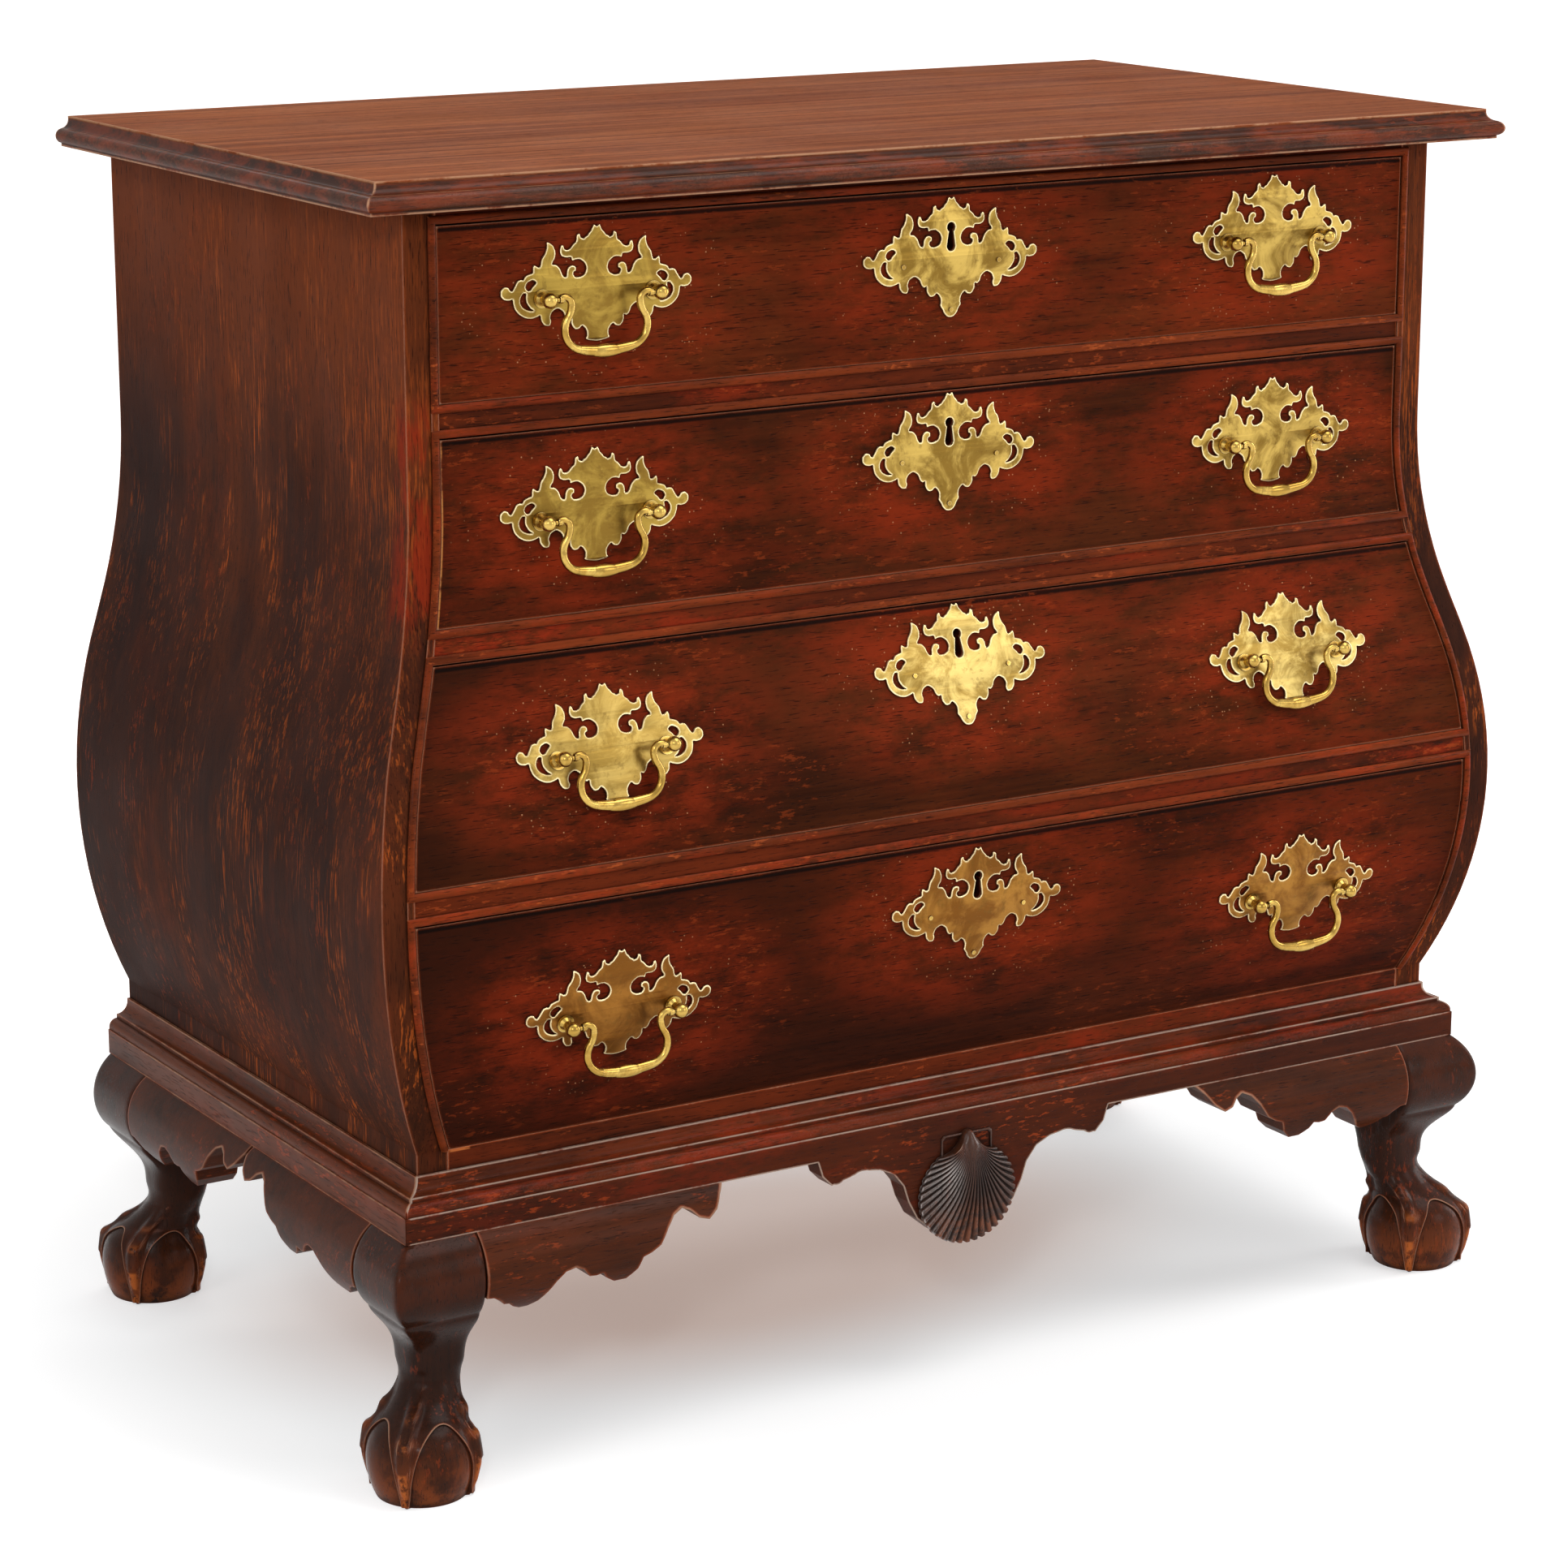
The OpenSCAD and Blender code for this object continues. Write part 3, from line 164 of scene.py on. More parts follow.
def put(tree, kind, values=None, **settings):
    """Adds a node, sets its settings, and links or sets its inputs by name or number."""
    made = tree.nodes.new(kind)
    for key, value in settings.items():
        setattr(made, key, value)
    for key, value in (values or {}).items():
        if isinstance(value, bpy.types.NodeSocket):
            tree.links.new(value, made.inputs[key])
        else:
            made.inputs[key].default_value = value
    return made


def seen_plainly(tree):
    """1 where the camera, a gloss or a pane of glass looks, and 0 for light that falls on things."""
    path = put(tree, "ShaderNodeLightPath")
    first = put(tree, "ShaderNodeMath", {0: path.outputs["Is Camera Ray"],
                                         1: path.outputs["Is Glossy Ray"]}, operation="MAXIMUM")
    return put(tree, "ShaderNodeMath", {0: first.outputs[0],
                                        1: path.outputs["Is Transmission Ray"]},
               operation="MAXIMUM").outputs[0]


sky = world.node_tree
backdrop = put(sky, "ShaderNodeBackground", {"Color": (1, 1, 1, 1), "Strength": 1.0})
fill = put(sky, "ShaderNodeBackground", {"Color": (1, 1, 1, 1), "Strength": world_fill})
choose = put(sky, "ShaderNodeMixShader", {0: seen_plainly(sky), 1: fill.outputs[0],
                                          2: backdrop.outputs[0]})
sky.links.new(choose.outputs[0], sky.nodes["World Output"].inputs["Surface"])

# %% [markdown]
# ## Floor
# The floor is white paper that runs out of the picture. Part of its brightness is only seen and lights
# nothing, so that it reads as white and still shows the soft shadow under the chest. That part is weaker
# and warmer in an ellipse close to the chest, which is a painted shadow laid over the real one.

# %% Floor
reach = 14
floor_mesh = bpy.data.meshes.new("floor")
floor_mesh.from_pydata([(-reach, -reach, 0), (reach, -reach, 0), (reach, reach, 0), (-reach, reach, 0)],
                       [], [(0, 1, 2, 3)])
floor = bpy.data.objects.new("floor", floor_mesh)
bpy.context.scene.collection.objects.link(floor)
paper, tree, shader = new_material("white_paper")
shader.inputs["Base Color"].default_value = (0.74, 0.735, 0.73, 1)
shader.inputs["Roughness"].default_value = 0.9
shader.inputs["Specular IOR Level"].default_value = 0.0
spot_on_floor = put(tree, "ShaderNodeTexCoord").outputs["Object"]


def ring(start, end, middle, sizes=(1, 1, 1)):
    """0 inside an ellipse on the floor, rising to 1 outside it."""
    moved = put(tree, "ShaderNodeVectorMath", {0: spot_on_floor, 1: middle}, operation="SUBTRACT")
    scaled = put(tree, "ShaderNodeVectorMath", {0: moved.outputs[0], 1: sizes}, operation="DIVIDE")
    far = put(tree, "ShaderNodeVectorMath", {0: scaled.outputs[0]}, operation="LENGTH").outputs["Value"]
    return put(tree, "ShaderNodeMapRange", {0: far, 1: start, 2: end},
               interpolation_type="SMOOTHSTEP").outputs[0]


# painted shadow: the glow that is only seen is lowest and warmest in an ellipse under the chest
painted_shadow_glow, round_glow, white = (0.33, 0.25, 0.222, 1), (0.44, 0.45, 0.46, 1), (1, 1, 1, 1)
near = put(tree, "ShaderNodeMix", {0: ring(0.5, 1.2, (-0.04, 0.06, 0), (0.38, 0.22, 1)),
                                   6: painted_shadow_glow, 7: round_glow}, data_type="RGBA").outputs[2]
glow_colour = put(tree, "ShaderNodeMix", {0: ring(0.34, 0.96, (0.06, 0.08, 0)),
                                          6: near, 7: white}, data_type="RGBA").outputs[2]
glow = put(tree, "ShaderNodeEmission", {"Color": glow_colour, "Strength": 1.0})
no_glow = put(tree, "ShaderNodeEmission", {"Strength": 0.0})
only_seen = put(tree, "ShaderNodeMixShader", {0: seen_plainly(tree), 1: no_glow.outputs[0],
                                              2: glow.outputs[0]})
both = put(tree, "ShaderNodeAddShader", {0: shader.outputs[0], 1: only_seen.outputs[0]})
tree.links.new(both.outputs[0], tree.nodes["Material Output"].inputs["Surface"])
floor_mesh.materials.append(paper)
print("floor laid")

# %% [markdown]
# ## Effects that several finishes share
# Several finishes need the same effects: a grain with pores and ribbon figure, worn edges, dirt and
# painted shade in the corners, and scratches with specks. Each could be built in every material, but
# then a change would have to be made ten times over, so each is a node group. A group gives out only
# numbers, and the shader itself stays in the material.

# %% Helpers for node groups
def new_group(name, inputs, outputs):
    """An empty shader group with float or vector inputs and float outputs."""
    group = bpy.data.node_groups.new(name, "ShaderNodeTree")
    for label, start in inputs:
        kind = "NodeSocketVector" if start is None else "NodeSocketFloat"
        socket = group.interface.new_socket(label, in_out="INPUT", socket_type=kind)
        if start is not None:
            socket.default_value = start
    for label in outputs:
        group.interface.new_socket(label, in_out="OUTPUT", socket_type="NodeSocketFloat")
    return group, group.nodes.new("NodeGroupInput"), group.nodes.new("NodeGroupOutput")


def maths(tree, operation, a, b=0.0, clamp=False):
    """What one maths node gives."""
    return put(tree, "ShaderNodeMath", {0: a, 1: b}, operation=operation, use_clamp=clamp).outputs[0]


def product(tree, first, *others):
    """All the values multiplied together."""
    for other in others:
        first = put(tree, "ShaderNodeMath", {0: first, 1: other}, operation="MULTIPLY").outputs[0]
    return first


def steps(tree, value, low, high):
    """0 at low, smoothly up to 1 at high; low may be the larger number."""
    return put(tree, "ShaderNodeMapRange", {0: value, 1: low, 2: high},
               interpolation_type="SMOOTHSTEP").outputs[0]


def noise(tree, vector, scale, detail=3.0, rough=0.55, warp=0.0):
    """Soft random clouds, mostly between 0.3 and 0.7."""
    made = put(tree, "ShaderNodeTexNoise", {"Vector": vector, "Scale": scale, "Detail": detail,
                                            "Roughness": rough, "Distortion": warp})
    return made.outputs["Fac"]


def stretched(tree, vector, x, y, z):
    """The vector multiplied by three numbers, so that a pattern is drawn out along an axis."""
    return put(tree, "ShaderNodeVectorMath", {0: vector, 1: (x, y, z)}, operation="MULTIPLY").outputs[0]


# %% Grain group
# The vector's first number runs along the grain, so every pattern is drawn out that way.
grain_group, inside, outside = new_group(
    "wood_grain", [("Vector", None)], ["Streaks", "Figure", "Pores", "Height"])
along = inside.outputs["Vector"]
fine = noise(grain_group, stretched(grain_group, along, 9, 330, 330), 1, 4, 0.6)
middle = noise(grain_group, stretched(grain_group, along, 3.5, 90, 90), 1, 3, 0.55, 0.4)
streaks = maths(grain_group, "ADD", product(grain_group, fine, 0.45),
                product(grain_group, middle, 0.55))
figure = noise(grain_group, stretched(grain_group, along, 1.6, 15, 15), 1, 3, 0.5, 0.8)
dashes = noise(grain_group, stretched(grain_group, along, 90, 1300, 1300), 1, 2, 0.5)
pores = steps(grain_group, dashes, 0.6, 0.68)
height = maths(grain_group, "SUBTRACT", product(grain_group, streaks, 0.4), pores)
for label, value in (("Streaks", streaks), ("Figure", figure), ("Pores", pores), ("Height", height)):
    grain_group.links.new(value, outside.inputs[label])

# %% Worn edges group
# Short rays sent inwards hit another face only near an outer edge, so they find the arrises.
wear_group, inside, outside = new_group(
    "worn_edges", [("Vector", None), ("Width", 0.002), ("Amount", 1.0)], ["Edge", "Chips"])
inwards = put(wear_group, "ShaderNodeAmbientOcclusion", {"Distance": inside.outputs["Width"]},
              inside=True, only_local=True, samples=4)
edge = maths(wear_group, "SUBTRACT", 1.0, inwards.outputs["AO"])
patches = noise(wear_group, inside.outputs["Vector"], 28, 4, 0.65)
flecks = noise(wear_group, inside.outputs["Vector"], 420, 3, 0.6)
kept = product(wear_group, edge,
               maths(wear_group, "ADD", product(wear_group, patches, 1.5),
                     product(wear_group, flecks, 0.5)))
kept = product(wear_group, kept, inside.outputs["Amount"])
soft_edge = steps(wear_group, kept, 0.1, 0.45)
chips = steps(wear_group, kept, 0.36, 0.5)
wear_group.links.new(soft_edge, outside.inputs["Edge"])
wear_group.links.new(chips, outside.inputs["Chips"])

# %% Corner dirt and painted shade group
dirt_and_shade_group, inside, outside = new_group("corner_dirt_and_shade", [("Reach", 0.012)], ["Dirt"])
# Rays sent outwards darken wherever other faces are close: corners, gaps and round the plates, as dirt
# and painted shade together.
outwards = put(dirt_and_shade_group, "ShaderNodeAmbientOcclusion", {"Distance": inside.outputs["Reach"]},
               samples=4)
dirt_and_shade_group.links.new(steps(dirt_and_shade_group, outwards.outputs["AO"], 0.92, 0.45), outside.inputs["Dirt"])

# %% Scratches group
# Cells drawn out into needles leave thin lines in two directions, and round ones leave specks.
scratch_group, inside, outside = new_group("scratches", [("Vector", None)], ["Scratches", "Specks"])
lines = None
for turn, spacing in ((0.5, 31), (1.9, 43)):
    turned = put(scratch_group, "ShaderNodeMapping", {"Vector": inside.outputs["Vector"],
                                                      "Rotation": (turn, turn * 0.7, turn)})
    narrow = stretched(scratch_group, turned.outputs[0], 1, 26, 26)
    cells = put(scratch_group, "ShaderNodeTexVoronoi", {"Vector": narrow, "Scale": spacing},
                feature="F1")
    line = steps(scratch_group, cells.outputs["Distance"], 0.05, 0.02)
    lines = line if lines is None else maths(scratch_group, "MAXIMUM", lines, line)
dots = put(scratch_group, "ShaderNodeTexVoronoi", {"Vector": inside.outputs["Vector"], "Scale": 260})
specks = steps(scratch_group, dots.outputs["Distance"], 0.16, 0.1)
scratch_group.links.new(lines, outside.inputs["Scratches"])
scratch_group.links.new(specks, outside.inputs["Specks"])
print("groups:", [g.name for g in bpy.data.node_groups])

# %% [markdown]
# ## Old mahogany
# The polish has darkened nearly to black where hands and dust reached, and worn back to red and orange
# elsewhere. So the colour is built in layers: a dark and a warm brown mixed by the grain, red and orange
# showing through in patches, black in the pores, black in the corners as dirt and painted shade, and
# pale wood along the arrises. The grain runs along X on the fronts and the top, and upright on the sides
# and feet.

# %% Wood finish
def tone(red, green, blue):
    """A screen colour, 0 to 255, as the linear colour that shaders use."""
    def linear(v):
        v /= 255
        return v / 12.92 if v <= 0.04045 else ((v + 0.055) / 1.055) ** 2.4
    return (linear(red), linear(green), linear(blue), 1)


def mixed(tree, factor, a, b):
    """Colour a where the factor is 0 and colour b where it is 1."""
    return put(tree, "ShaderNodeMix", {0: factor, 6: a, 7: b}, data_type="RGBA").outputs[2]


def layer(tree, body, colour, *shares):
    """The body with a colour laid over it, as strongly as the shares multiplied together."""
    return mixed(tree, product(tree, *shares), body, colour)


def place(tree, group, values):
    """Puts a node group in a material."""
    return put(tree, "ShaderNodeGroup", values, node_tree=group)


GRAIN_TURNS = {"x": "XYZ", "y": "YXZ", "z": "ZXY"}


def along_grain(tree, axis):
    """Object coordinates as they are, one by one, and turned so that the first runs along the grain."""
    coordinates = put(tree, "ShaderNodeTexCoord").outputs["Object"]
    parts = put(tree, "ShaderNodeSeparateXYZ", {0: coordinates})
    order = [parts.outputs["XYZ".index(letter)] for letter in GRAIN_TURNS[axis]]
    lengthways = put(tree, "ShaderNodeCombineXYZ", dict(enumerate(order))).outputs[0]
    return coordinates, tuple(parts.outputs), lengthways


dirt_and_shade_reach, eased_radius, pore_depth = 0.009, 0.0009, 0.0004
pore_black, dirt_and_shade_black = tone(22, 10, 6), tone(18, 9, 6)


def old_wood(name, axis, dark, warm, red, fleck=tone(172, 70, 30), patches=0.5, flecks=0.6, wear=1.0,
             gloss=0.06, shine=0.42, offset=0.0, extra=None, edge_width=0.002,
             edge_tone=tone(196, 142, 112), calm=None):
    """The layered finish. patches, flecks and wear say how much shows of each; shine is the roughness
    and gloss the specular level; offset moves the grain, so that no two boards are alike;
    extra(tree, coordinates, xyz, body, shader) paints more on top, and calm(tree, xyz) is 0 where an
    edge isn't worn."""
    material, tree, shader = new_material(name)
    coordinates, xyz, lengthways = along_grain(tree, axis)
    shift = (offset, offset * 0.7, offset * 1.3)
    lengthways = put(tree, "ShaderNodeVectorMath", {0: lengthways, 1: shift}, operation="ADD").outputs[0]
    grain = place(tree, grain_group, {"Vector": lengthways})
    cloud = noise(tree, stretched(tree, lengthways, 4.5, 10, 10), 1, 6, 0.68, 0.3)
    clouds = product(tree, steps(tree, cloud, 0.36, 0.66), 0.75)
    stripes = product(tree, maths(tree, "SUBTRACT", grain.outputs["Streaks"], 0.4), 2.3)
    body = mixed(tree, maths(tree, "ADD", clouds, stripes, True), dark, warm)
    ragged = noise(tree, stretched(tree, lengthways, 24, 70, 70), 1, 5, 0.75)
    flame = product(tree, steps(tree, grain.outputs["Figure"], 0.44, 0.64),
                    steps(tree, ragged, 0.42, 0.62))
    body = layer(tree, body, red, flame, patches)
    if extra:
        body = extra(tree, coordinates, xyz, body, shader)
    sharp = noise(tree, stretched(tree, lengthways, 85, 300, 300), 1, 4, 0.7)
    where = noise(tree, stretched(tree, lengthways, 8, 15, 15), 1, 3, 0.65)
    bright = product(tree, steps(tree, sharp, 0.57, 0.62), steps(tree, where, 0.5, 0.6))
    body = layer(tree, body, fleck, bright, flecks)
    body = layer(tree, body, pore_black, grain.outputs["Pores"], 0.7)
    # dirt and painted shade: near black where the wood is closed in by other faces
    dirt_and_shade = place(tree, dirt_and_shade_group, {"Reach": dirt_and_shade_reach})
    body = layer(tree, body, dirt_and_shade_black, dirt_and_shade.outputs["Dirt"], 0.85)
    amount = product(tree, calm(tree, xyz), wear) if calm else wear
    edges = place(tree, wear_group, {"Vector": coordinates, "Width": edge_width, "Amount": amount})
    body = layer(tree, body, fleck, edges.outputs["Edge"], 0.5)
    body = layer(tree, body, edge_tone, edges.outputs["Chips"], 0.8)
    tree.links.new(body, shader.inputs["Base Color"])
    uneven = product(tree, noise(tree, lengthways, 14, 3, 0.6), 0.24)
    rough = maths(tree, "ADD", uneven, shine - 0.12)
    rough = maths(tree, "ADD", rough, product(tree, dirt_and_shade.outputs["Dirt"], 0.3), True)
    tree.links.new(rough, shader.inputs["Roughness"])
    eased = put(tree, "ShaderNodeBevel", {"Radius": eased_radius}, samples=3)
    bump = put(tree, "ShaderNodeBump", {"Strength": 0.45, "Distance": pore_depth,
                                        "Height": grain.outputs["Height"], "Normal": eased.outputs[0]})
    tree.links.new(bump.outputs[0], shader.inputs["Normal"])
    shader.inputs["Specular IOR Level"].default_value = gloss
    return material

# %% [markdown]
# ### Drawer fronts
# Polish and hands have turned the wood round the brasses bright red, with tiny flecks of old metal
# polish at their edges. Each drawer's material knows where its plates are, because a painted mask
# would need an image and a vertex colour a much finer mesh.

# %% Drawer front finishes
handle_x = {1: 0.262, 2: 0.265, 3: 0.268, 4: 0.271}
handle_z = {1: 0.7558, 2: 0.61755, 3: 0.4693, 4: 0.30255}
keyplate_z = {1: 0.7568, 2: 0.6293, 3: 0.4903, 4: 0.3313}
plate_reach_x, plate_reach_z = 0.088, 0.05     # half sizes of the oval that a plate's halo follows
top_shade = 0.0044                             # the dark line under the edge over each drawer
front_top = {n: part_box(f"drawer_{n}_front")[1].z for n in DRAWERS}
front_half = {n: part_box(f"drawer_{n}_front")[1].x for n in DRAWERS}


def from_plates(tree, x, z, number):
    """How far a point is from the nearest plate's middle, 1 at the edge of its oval."""
    nearest = None
    for middle_x, middle_z in ((handle_x[number], handle_z[number]), (0.0, keyplate_z[number])):
        sideways = maths(tree, "SUBTRACT", maths(tree, "ABSOLUTE", x), middle_x)
        across = maths(tree, "DIVIDE", sideways, plate_reach_x)
        up = maths(tree, "DIVIDE", maths(tree, "SUBTRACT", z, middle_z), plate_reach_z)
        far = maths(tree, "ADD", product(tree, across, across), product(tree, up, up))
        far = maths(tree, "SQRT", far)
        nearest = far if nearest is None else maths(tree, "MINIMUM", nearest, far)
    return nearest


flare_tall, rub_wide = 0.074, 0.0015           # the flare of drawer 2's ends, and how far in it is bare


def rubbed_edge(tree, coordinates, x, z):
    """The left edge of drawer 2, rubbed bare along its flare."""
    flare = maths(tree, "DIVIDE", maths(tree, "SUBTRACT", side_start_mm * MM, z), flare_tall, True)
    widening = product(tree, flare, flare, front_half[2] - front_half[1])
    inwards = maths(tree, "ADD", maths(tree, "ADD", x, widening), front_half[1])
    broken = steps(tree, noise(tree, coordinates, 45, 4, 0.7), 0.36, 0.5)
    return product(tree, steps(tree, inwards, rub_wide, 0.0008), broken)


def round_the_brasses(number):
    """The paint of one drawer's front."""
    def paint(tree, coordinates, xyz, body, shader):
        x, _, z = xyz
        if number > 1:
            body = layer(tree, body, tone(46, 19, 9), steps(tree, x, 0.05, -0.36), 0.2 * number)
        nearest = from_plates(tree, x, z, number)
        mottle = noise(tree, stretched(tree, coordinates, 18, 18, 44), 1, 6, 0.72)
        halo = product(tree, steps(tree, nearest, 1.8, 0.7), steps(tree, mottle, 0.32, 0.66))
        body = layer(tree, body, tone(146, 47, 20), halo, 0.75)
        marks = place(tree, scratch_group, {"Vector": coordinates})
        here_and_there = steps(tree, noise(tree, coordinates, 60, 3, 0.65), 0.5, 0.58)
        polish = product(tree, marks.outputs["Specks"], steps(tree, nearest, 1.25, 0.95), here_and_there)
        body = layer(tree, body, tone(206, 148, 104), polish, 0.75)
        a_few = steps(tree, noise(tree, coordinates, 13, 2), 0.56, 0.62)
        body = layer(tree, body, tone(150, 104, 84), marks.outputs["Scratches"], a_few, 0.35)
        if number == 2:
            body = layer(tree, body, tone(222, 150, 78), rubbed_edge(tree, coordinates, x, z), 0.9)
        # painted shadow: a near black band along the top of each front, under the edge over the drawer
        line = steps(tree, z, front_top[number] - top_shade, front_top[number] - top_shade + 0.0014)
        return layer(tree, body, tone(14, 7, 5), line, 0.9)
    return paint


front_tones = {1: (tone(58, 25, 11), tone(102, 44, 19), tone(130, 44, 19)),
               2: (tone(46, 21, 9), tone(84, 38, 17), tone(118, 39, 17)),
               3: (tone(48, 21, 9), tone(86, 39, 17), tone(122, 40, 17)),
               4: (tone(46, 18, 8), tone(80, 32, 13), tone(110, 34, 15))}
front_wood = {}
for number in DRAWERS:
    front_wood[number] = old_wood(
        f"drawer_{number}_mahogany", "x", *front_tones[number], patches=0.45, flecks=0.3, wear=1.1,
        gloss=0.02, offset=0.37 * number, extra=round_the_brasses(number), edge_width=0.0018)

# %% [markdown]
# ### Top, sides, mouldings and feet
# The top has been cleaned most and is the lightest. The sides are darkest in the hollow and show
# upright orange streaks towards the front. The mouldings and rails have red patches, and the feet
# are almost black at the ankles. Each has a paint function for what its own wood shows, in which the
# steps on x, y and z begin and end at places on the chest, and the rest comes from the shared finish.

# %% Paint of the sides
def streaky_side(tree, coordinates, xyz, body, shader):
    """Darker to the back and round the hollow, in clouds that are partly dark wood and partly painted
    shade, with orange streaks near the front edge above.
    """
    x, y, z = xyz
    hollow = product(tree, steps(tree, z, 0.72, 0.56), steps(tree, z, 0.2, 0.36), 0.8)
    cloud = noise(tree, stretched(tree, coordinates, 7, 7, 3), 1, 5, 0.68)
    # painted shade in part: the clouds darken the back and the hollow
    shade = product(tree, maths(tree, "MAXIMUM", steps(tree, y, -0.1, 0.22), hollow),
                    steps(tree, cloud, 0.36, 0.54))
    body = layer(tree, body, tone(34, 20, 17), shade, 0.8)
    upright = noise(tree, stretched(tree, coordinates, 420, 420, 26), 1, 4, 0.66)
    clusters = noise(tree, stretched(tree, coordinates, 20, 20, 9), 1, 4, 0.65)
    bare = maths(tree, "SUBTRACT", 1.0, product(tree, shade, 0.75))
    body = layer(tree, body, tone(178, 86, 34), steps(tree, upright, 0.52, 0.62),
                 steps(tree, clusters, 0.46, 0.6), bare, 0.95)
    hairs = noise(tree, stretched(tree, coordinates, 640, 640, 30), 1, 4, 0.7)
    body = layer(tree, body, tone(176, 82, 30), steps(tree, y, -0.06, -0.18), steps(tree, z, 0.5, 0.66),
                 steps(tree, hairs, 0.52, 0.6), 0.75)
    body = layer(tree, body, tone(138, 68, 34), steps(tree, z, 0.6, 0.8), 0.6)
    marks = place(tree, scratch_group, {"Vector": coordinates})
    body = layer(tree, body, tone(130, 96, 80), marks.outputs["Scratches"], 0.22)
    # the stile beside drawer 2 on the left is rubbed red, and the edge over it is dark
    stile = noise(tree, stretched(tree, coordinates, 60, 60, 16), 1, 4, 0.65)
    body = layer(tree, body, tone(146, 44, 20), steps(tree, y, -0.17, -0.19),
                 steps(tree, stile, 0.42, 0.55), steps(tree, z, 0.54, 0.58),
                 steps(tree, z, 0.71, 0.68), steps(tree, x, 0.01, -0.01), 0.8)
    return layer(tree, body, tone(56, 22, 10), steps(tree, y, -0.195, -0.197),
                 steps(tree, z, 0.68, 0.72), 0.6)


# %% Paint of the feet and the shell
def worn_low(tree, coordinates, xyz, body, shader):
    """Near black ankles, with the ball and the claws worn brown near the floor."""
    z = xyz[2]
    patchy = noise(tree, coordinates, 45, 4, 0.65)
    body = layer(tree, body, tone(34, 21, 16), steps(tree, z, 0.02, 0.06), 0.6)
    body = layer(tree, body, tone(142, 70, 32), steps(tree, z, 0.045, 0.0),
                 steps(tree, patchy, 0.36, 0.56), 0.85)
    body = layer(tree, body, tone(80, 36, 18), steps(tree, z, 0.125, 0.14),
                 steps(tree, patchy, 0.4, 0.6), 0.6)
    wear = put(tree, "ShaderNodeAttribute", attribute_name="wear").outputs["Fac"]
    bare = steps(tree, noise(tree, coordinates, 130, 3, 0.65), 0.38, 0.52)
    return layer(tree, body, tone(204, 108, 48), wear, bare)


def shell_wear_and_highlights(tree, coordinates, xyz, body, shader):
    """Grey-brown at the hinge, warm and worn at the rim, with painted highlights on the crests of the
    left ribs.
    """
    x, _, z = xyz
    patchy = noise(tree, coordinates, 90, 4, 0.7)
    body = layer(tree, body, tone(140, 74, 38), steps(tree, z, 0.135, 0.105),
                 steps(tree, patchy, 0.42, 0.58), 0.7)
    # painted highlights: pale crests on the left ribs, below the hinge
    crest_highlights = place(tree, wear_group, {"Vector": coordinates, "Width": 0.0012, "Amount": 3.0})
    return layer(tree, body, tone(206, 198, 194), crest_highlights.outputs["Edge"], steps(tree, x, -0.004, -0.02),
                 steps(tree, z, 0.164, 0.148), 0.8)


# %% Paint of the top, the mouldings and the rails
def straight_streaks(tree, coordinates, xyz, body, shader):
    """The long pale and dark stripes of a quartered board, over a dark moulded edge."""
    x, _, z = xyz
    stripes = noise(tree, stretched(tree, coordinates, 1.1, 150, 150), 1, 4, 0.65, 0.2)
    broad = noise(tree, stretched(tree, coordinates, 1.3, 9, 9), 1, 3, 0.6, 0.3)
    body = layer(tree, body, tone(118, 60, 32), steps(tree, broad, 0.45, 0.6), 0.45)
    body = layer(tree, body, tone(170, 98, 58), steps(tree, stripes, 0.5, 0.62), 0.55)
    body = layer(tree, body, tone(92, 44, 22), steps(tree, stripes, 0.46, 0.36), 0.6)
    # painted shade: the top darker towards the right
    body = layer(tree, body, tone(96, 46, 22), steps(tree, x, -0.35, 0.1), 0.3)
    edge = steps(tree, z, top_z - 0.0008, top_z - 0.0026)
    tree.links.new(product(tree, edge, 0.22), shader.inputs["Coat Weight"])
    shader.inputs["Coat Roughness"].default_value = 0.3
    patchy = noise(tree, stretched(tree, coordinates, 18, 40, 90), 1, 5, 0.7)
    low = mixed(tree, steps(tree, patchy, 0.4, 0.62), tone(52, 25, 14), tone(116, 46, 20))
    return layer(tree, body, low, edge, 0.92)


def dull_below(tree, coordinates, xyz, body, shader):
    """The plain face under the base moulding, with the pendant, is darker than the moulding."""
    return layer(tree, body, tone(50, 20, 8), steps(tree, xyz[2], 0.193, 0.185), 0.5)


def chipped_band(tree, coordinates, xyz, body, shader):
    """A splinter is lost from the band under the lowest drawer, at its left end."""
    x, _, z = xyz
    return layer(tree, body, tone(206, 116, 60), steps(tree, x, -0.366, -0.368),
                 steps(tree, x, -0.3825, -0.38), steps(tree, z, 0.2218, 0.2226),
                 steps(tree, z, 0.3, 0.25), 0.9)


# %% Case finishes
corner_x_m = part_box("base_moulding_front")[1].x
moulding_front_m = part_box("base_moulding_front")[0].y


def away_from_mitre_x(tree, xyz):
    """0 at the mitres, where the mouldings meet and no edge is open to wear."""
    return steps(tree, maths(tree, "ABSOLUTE", xyz[0]), corner_x_m - 0.0005, corner_x_m - 0.004)


def away_from_mitre_y(tree, xyz):
    """The same for the side mouldings."""
    return steps(tree, xyz[1], moulding_front_m + 0.0005, moulding_front_m + 0.004)


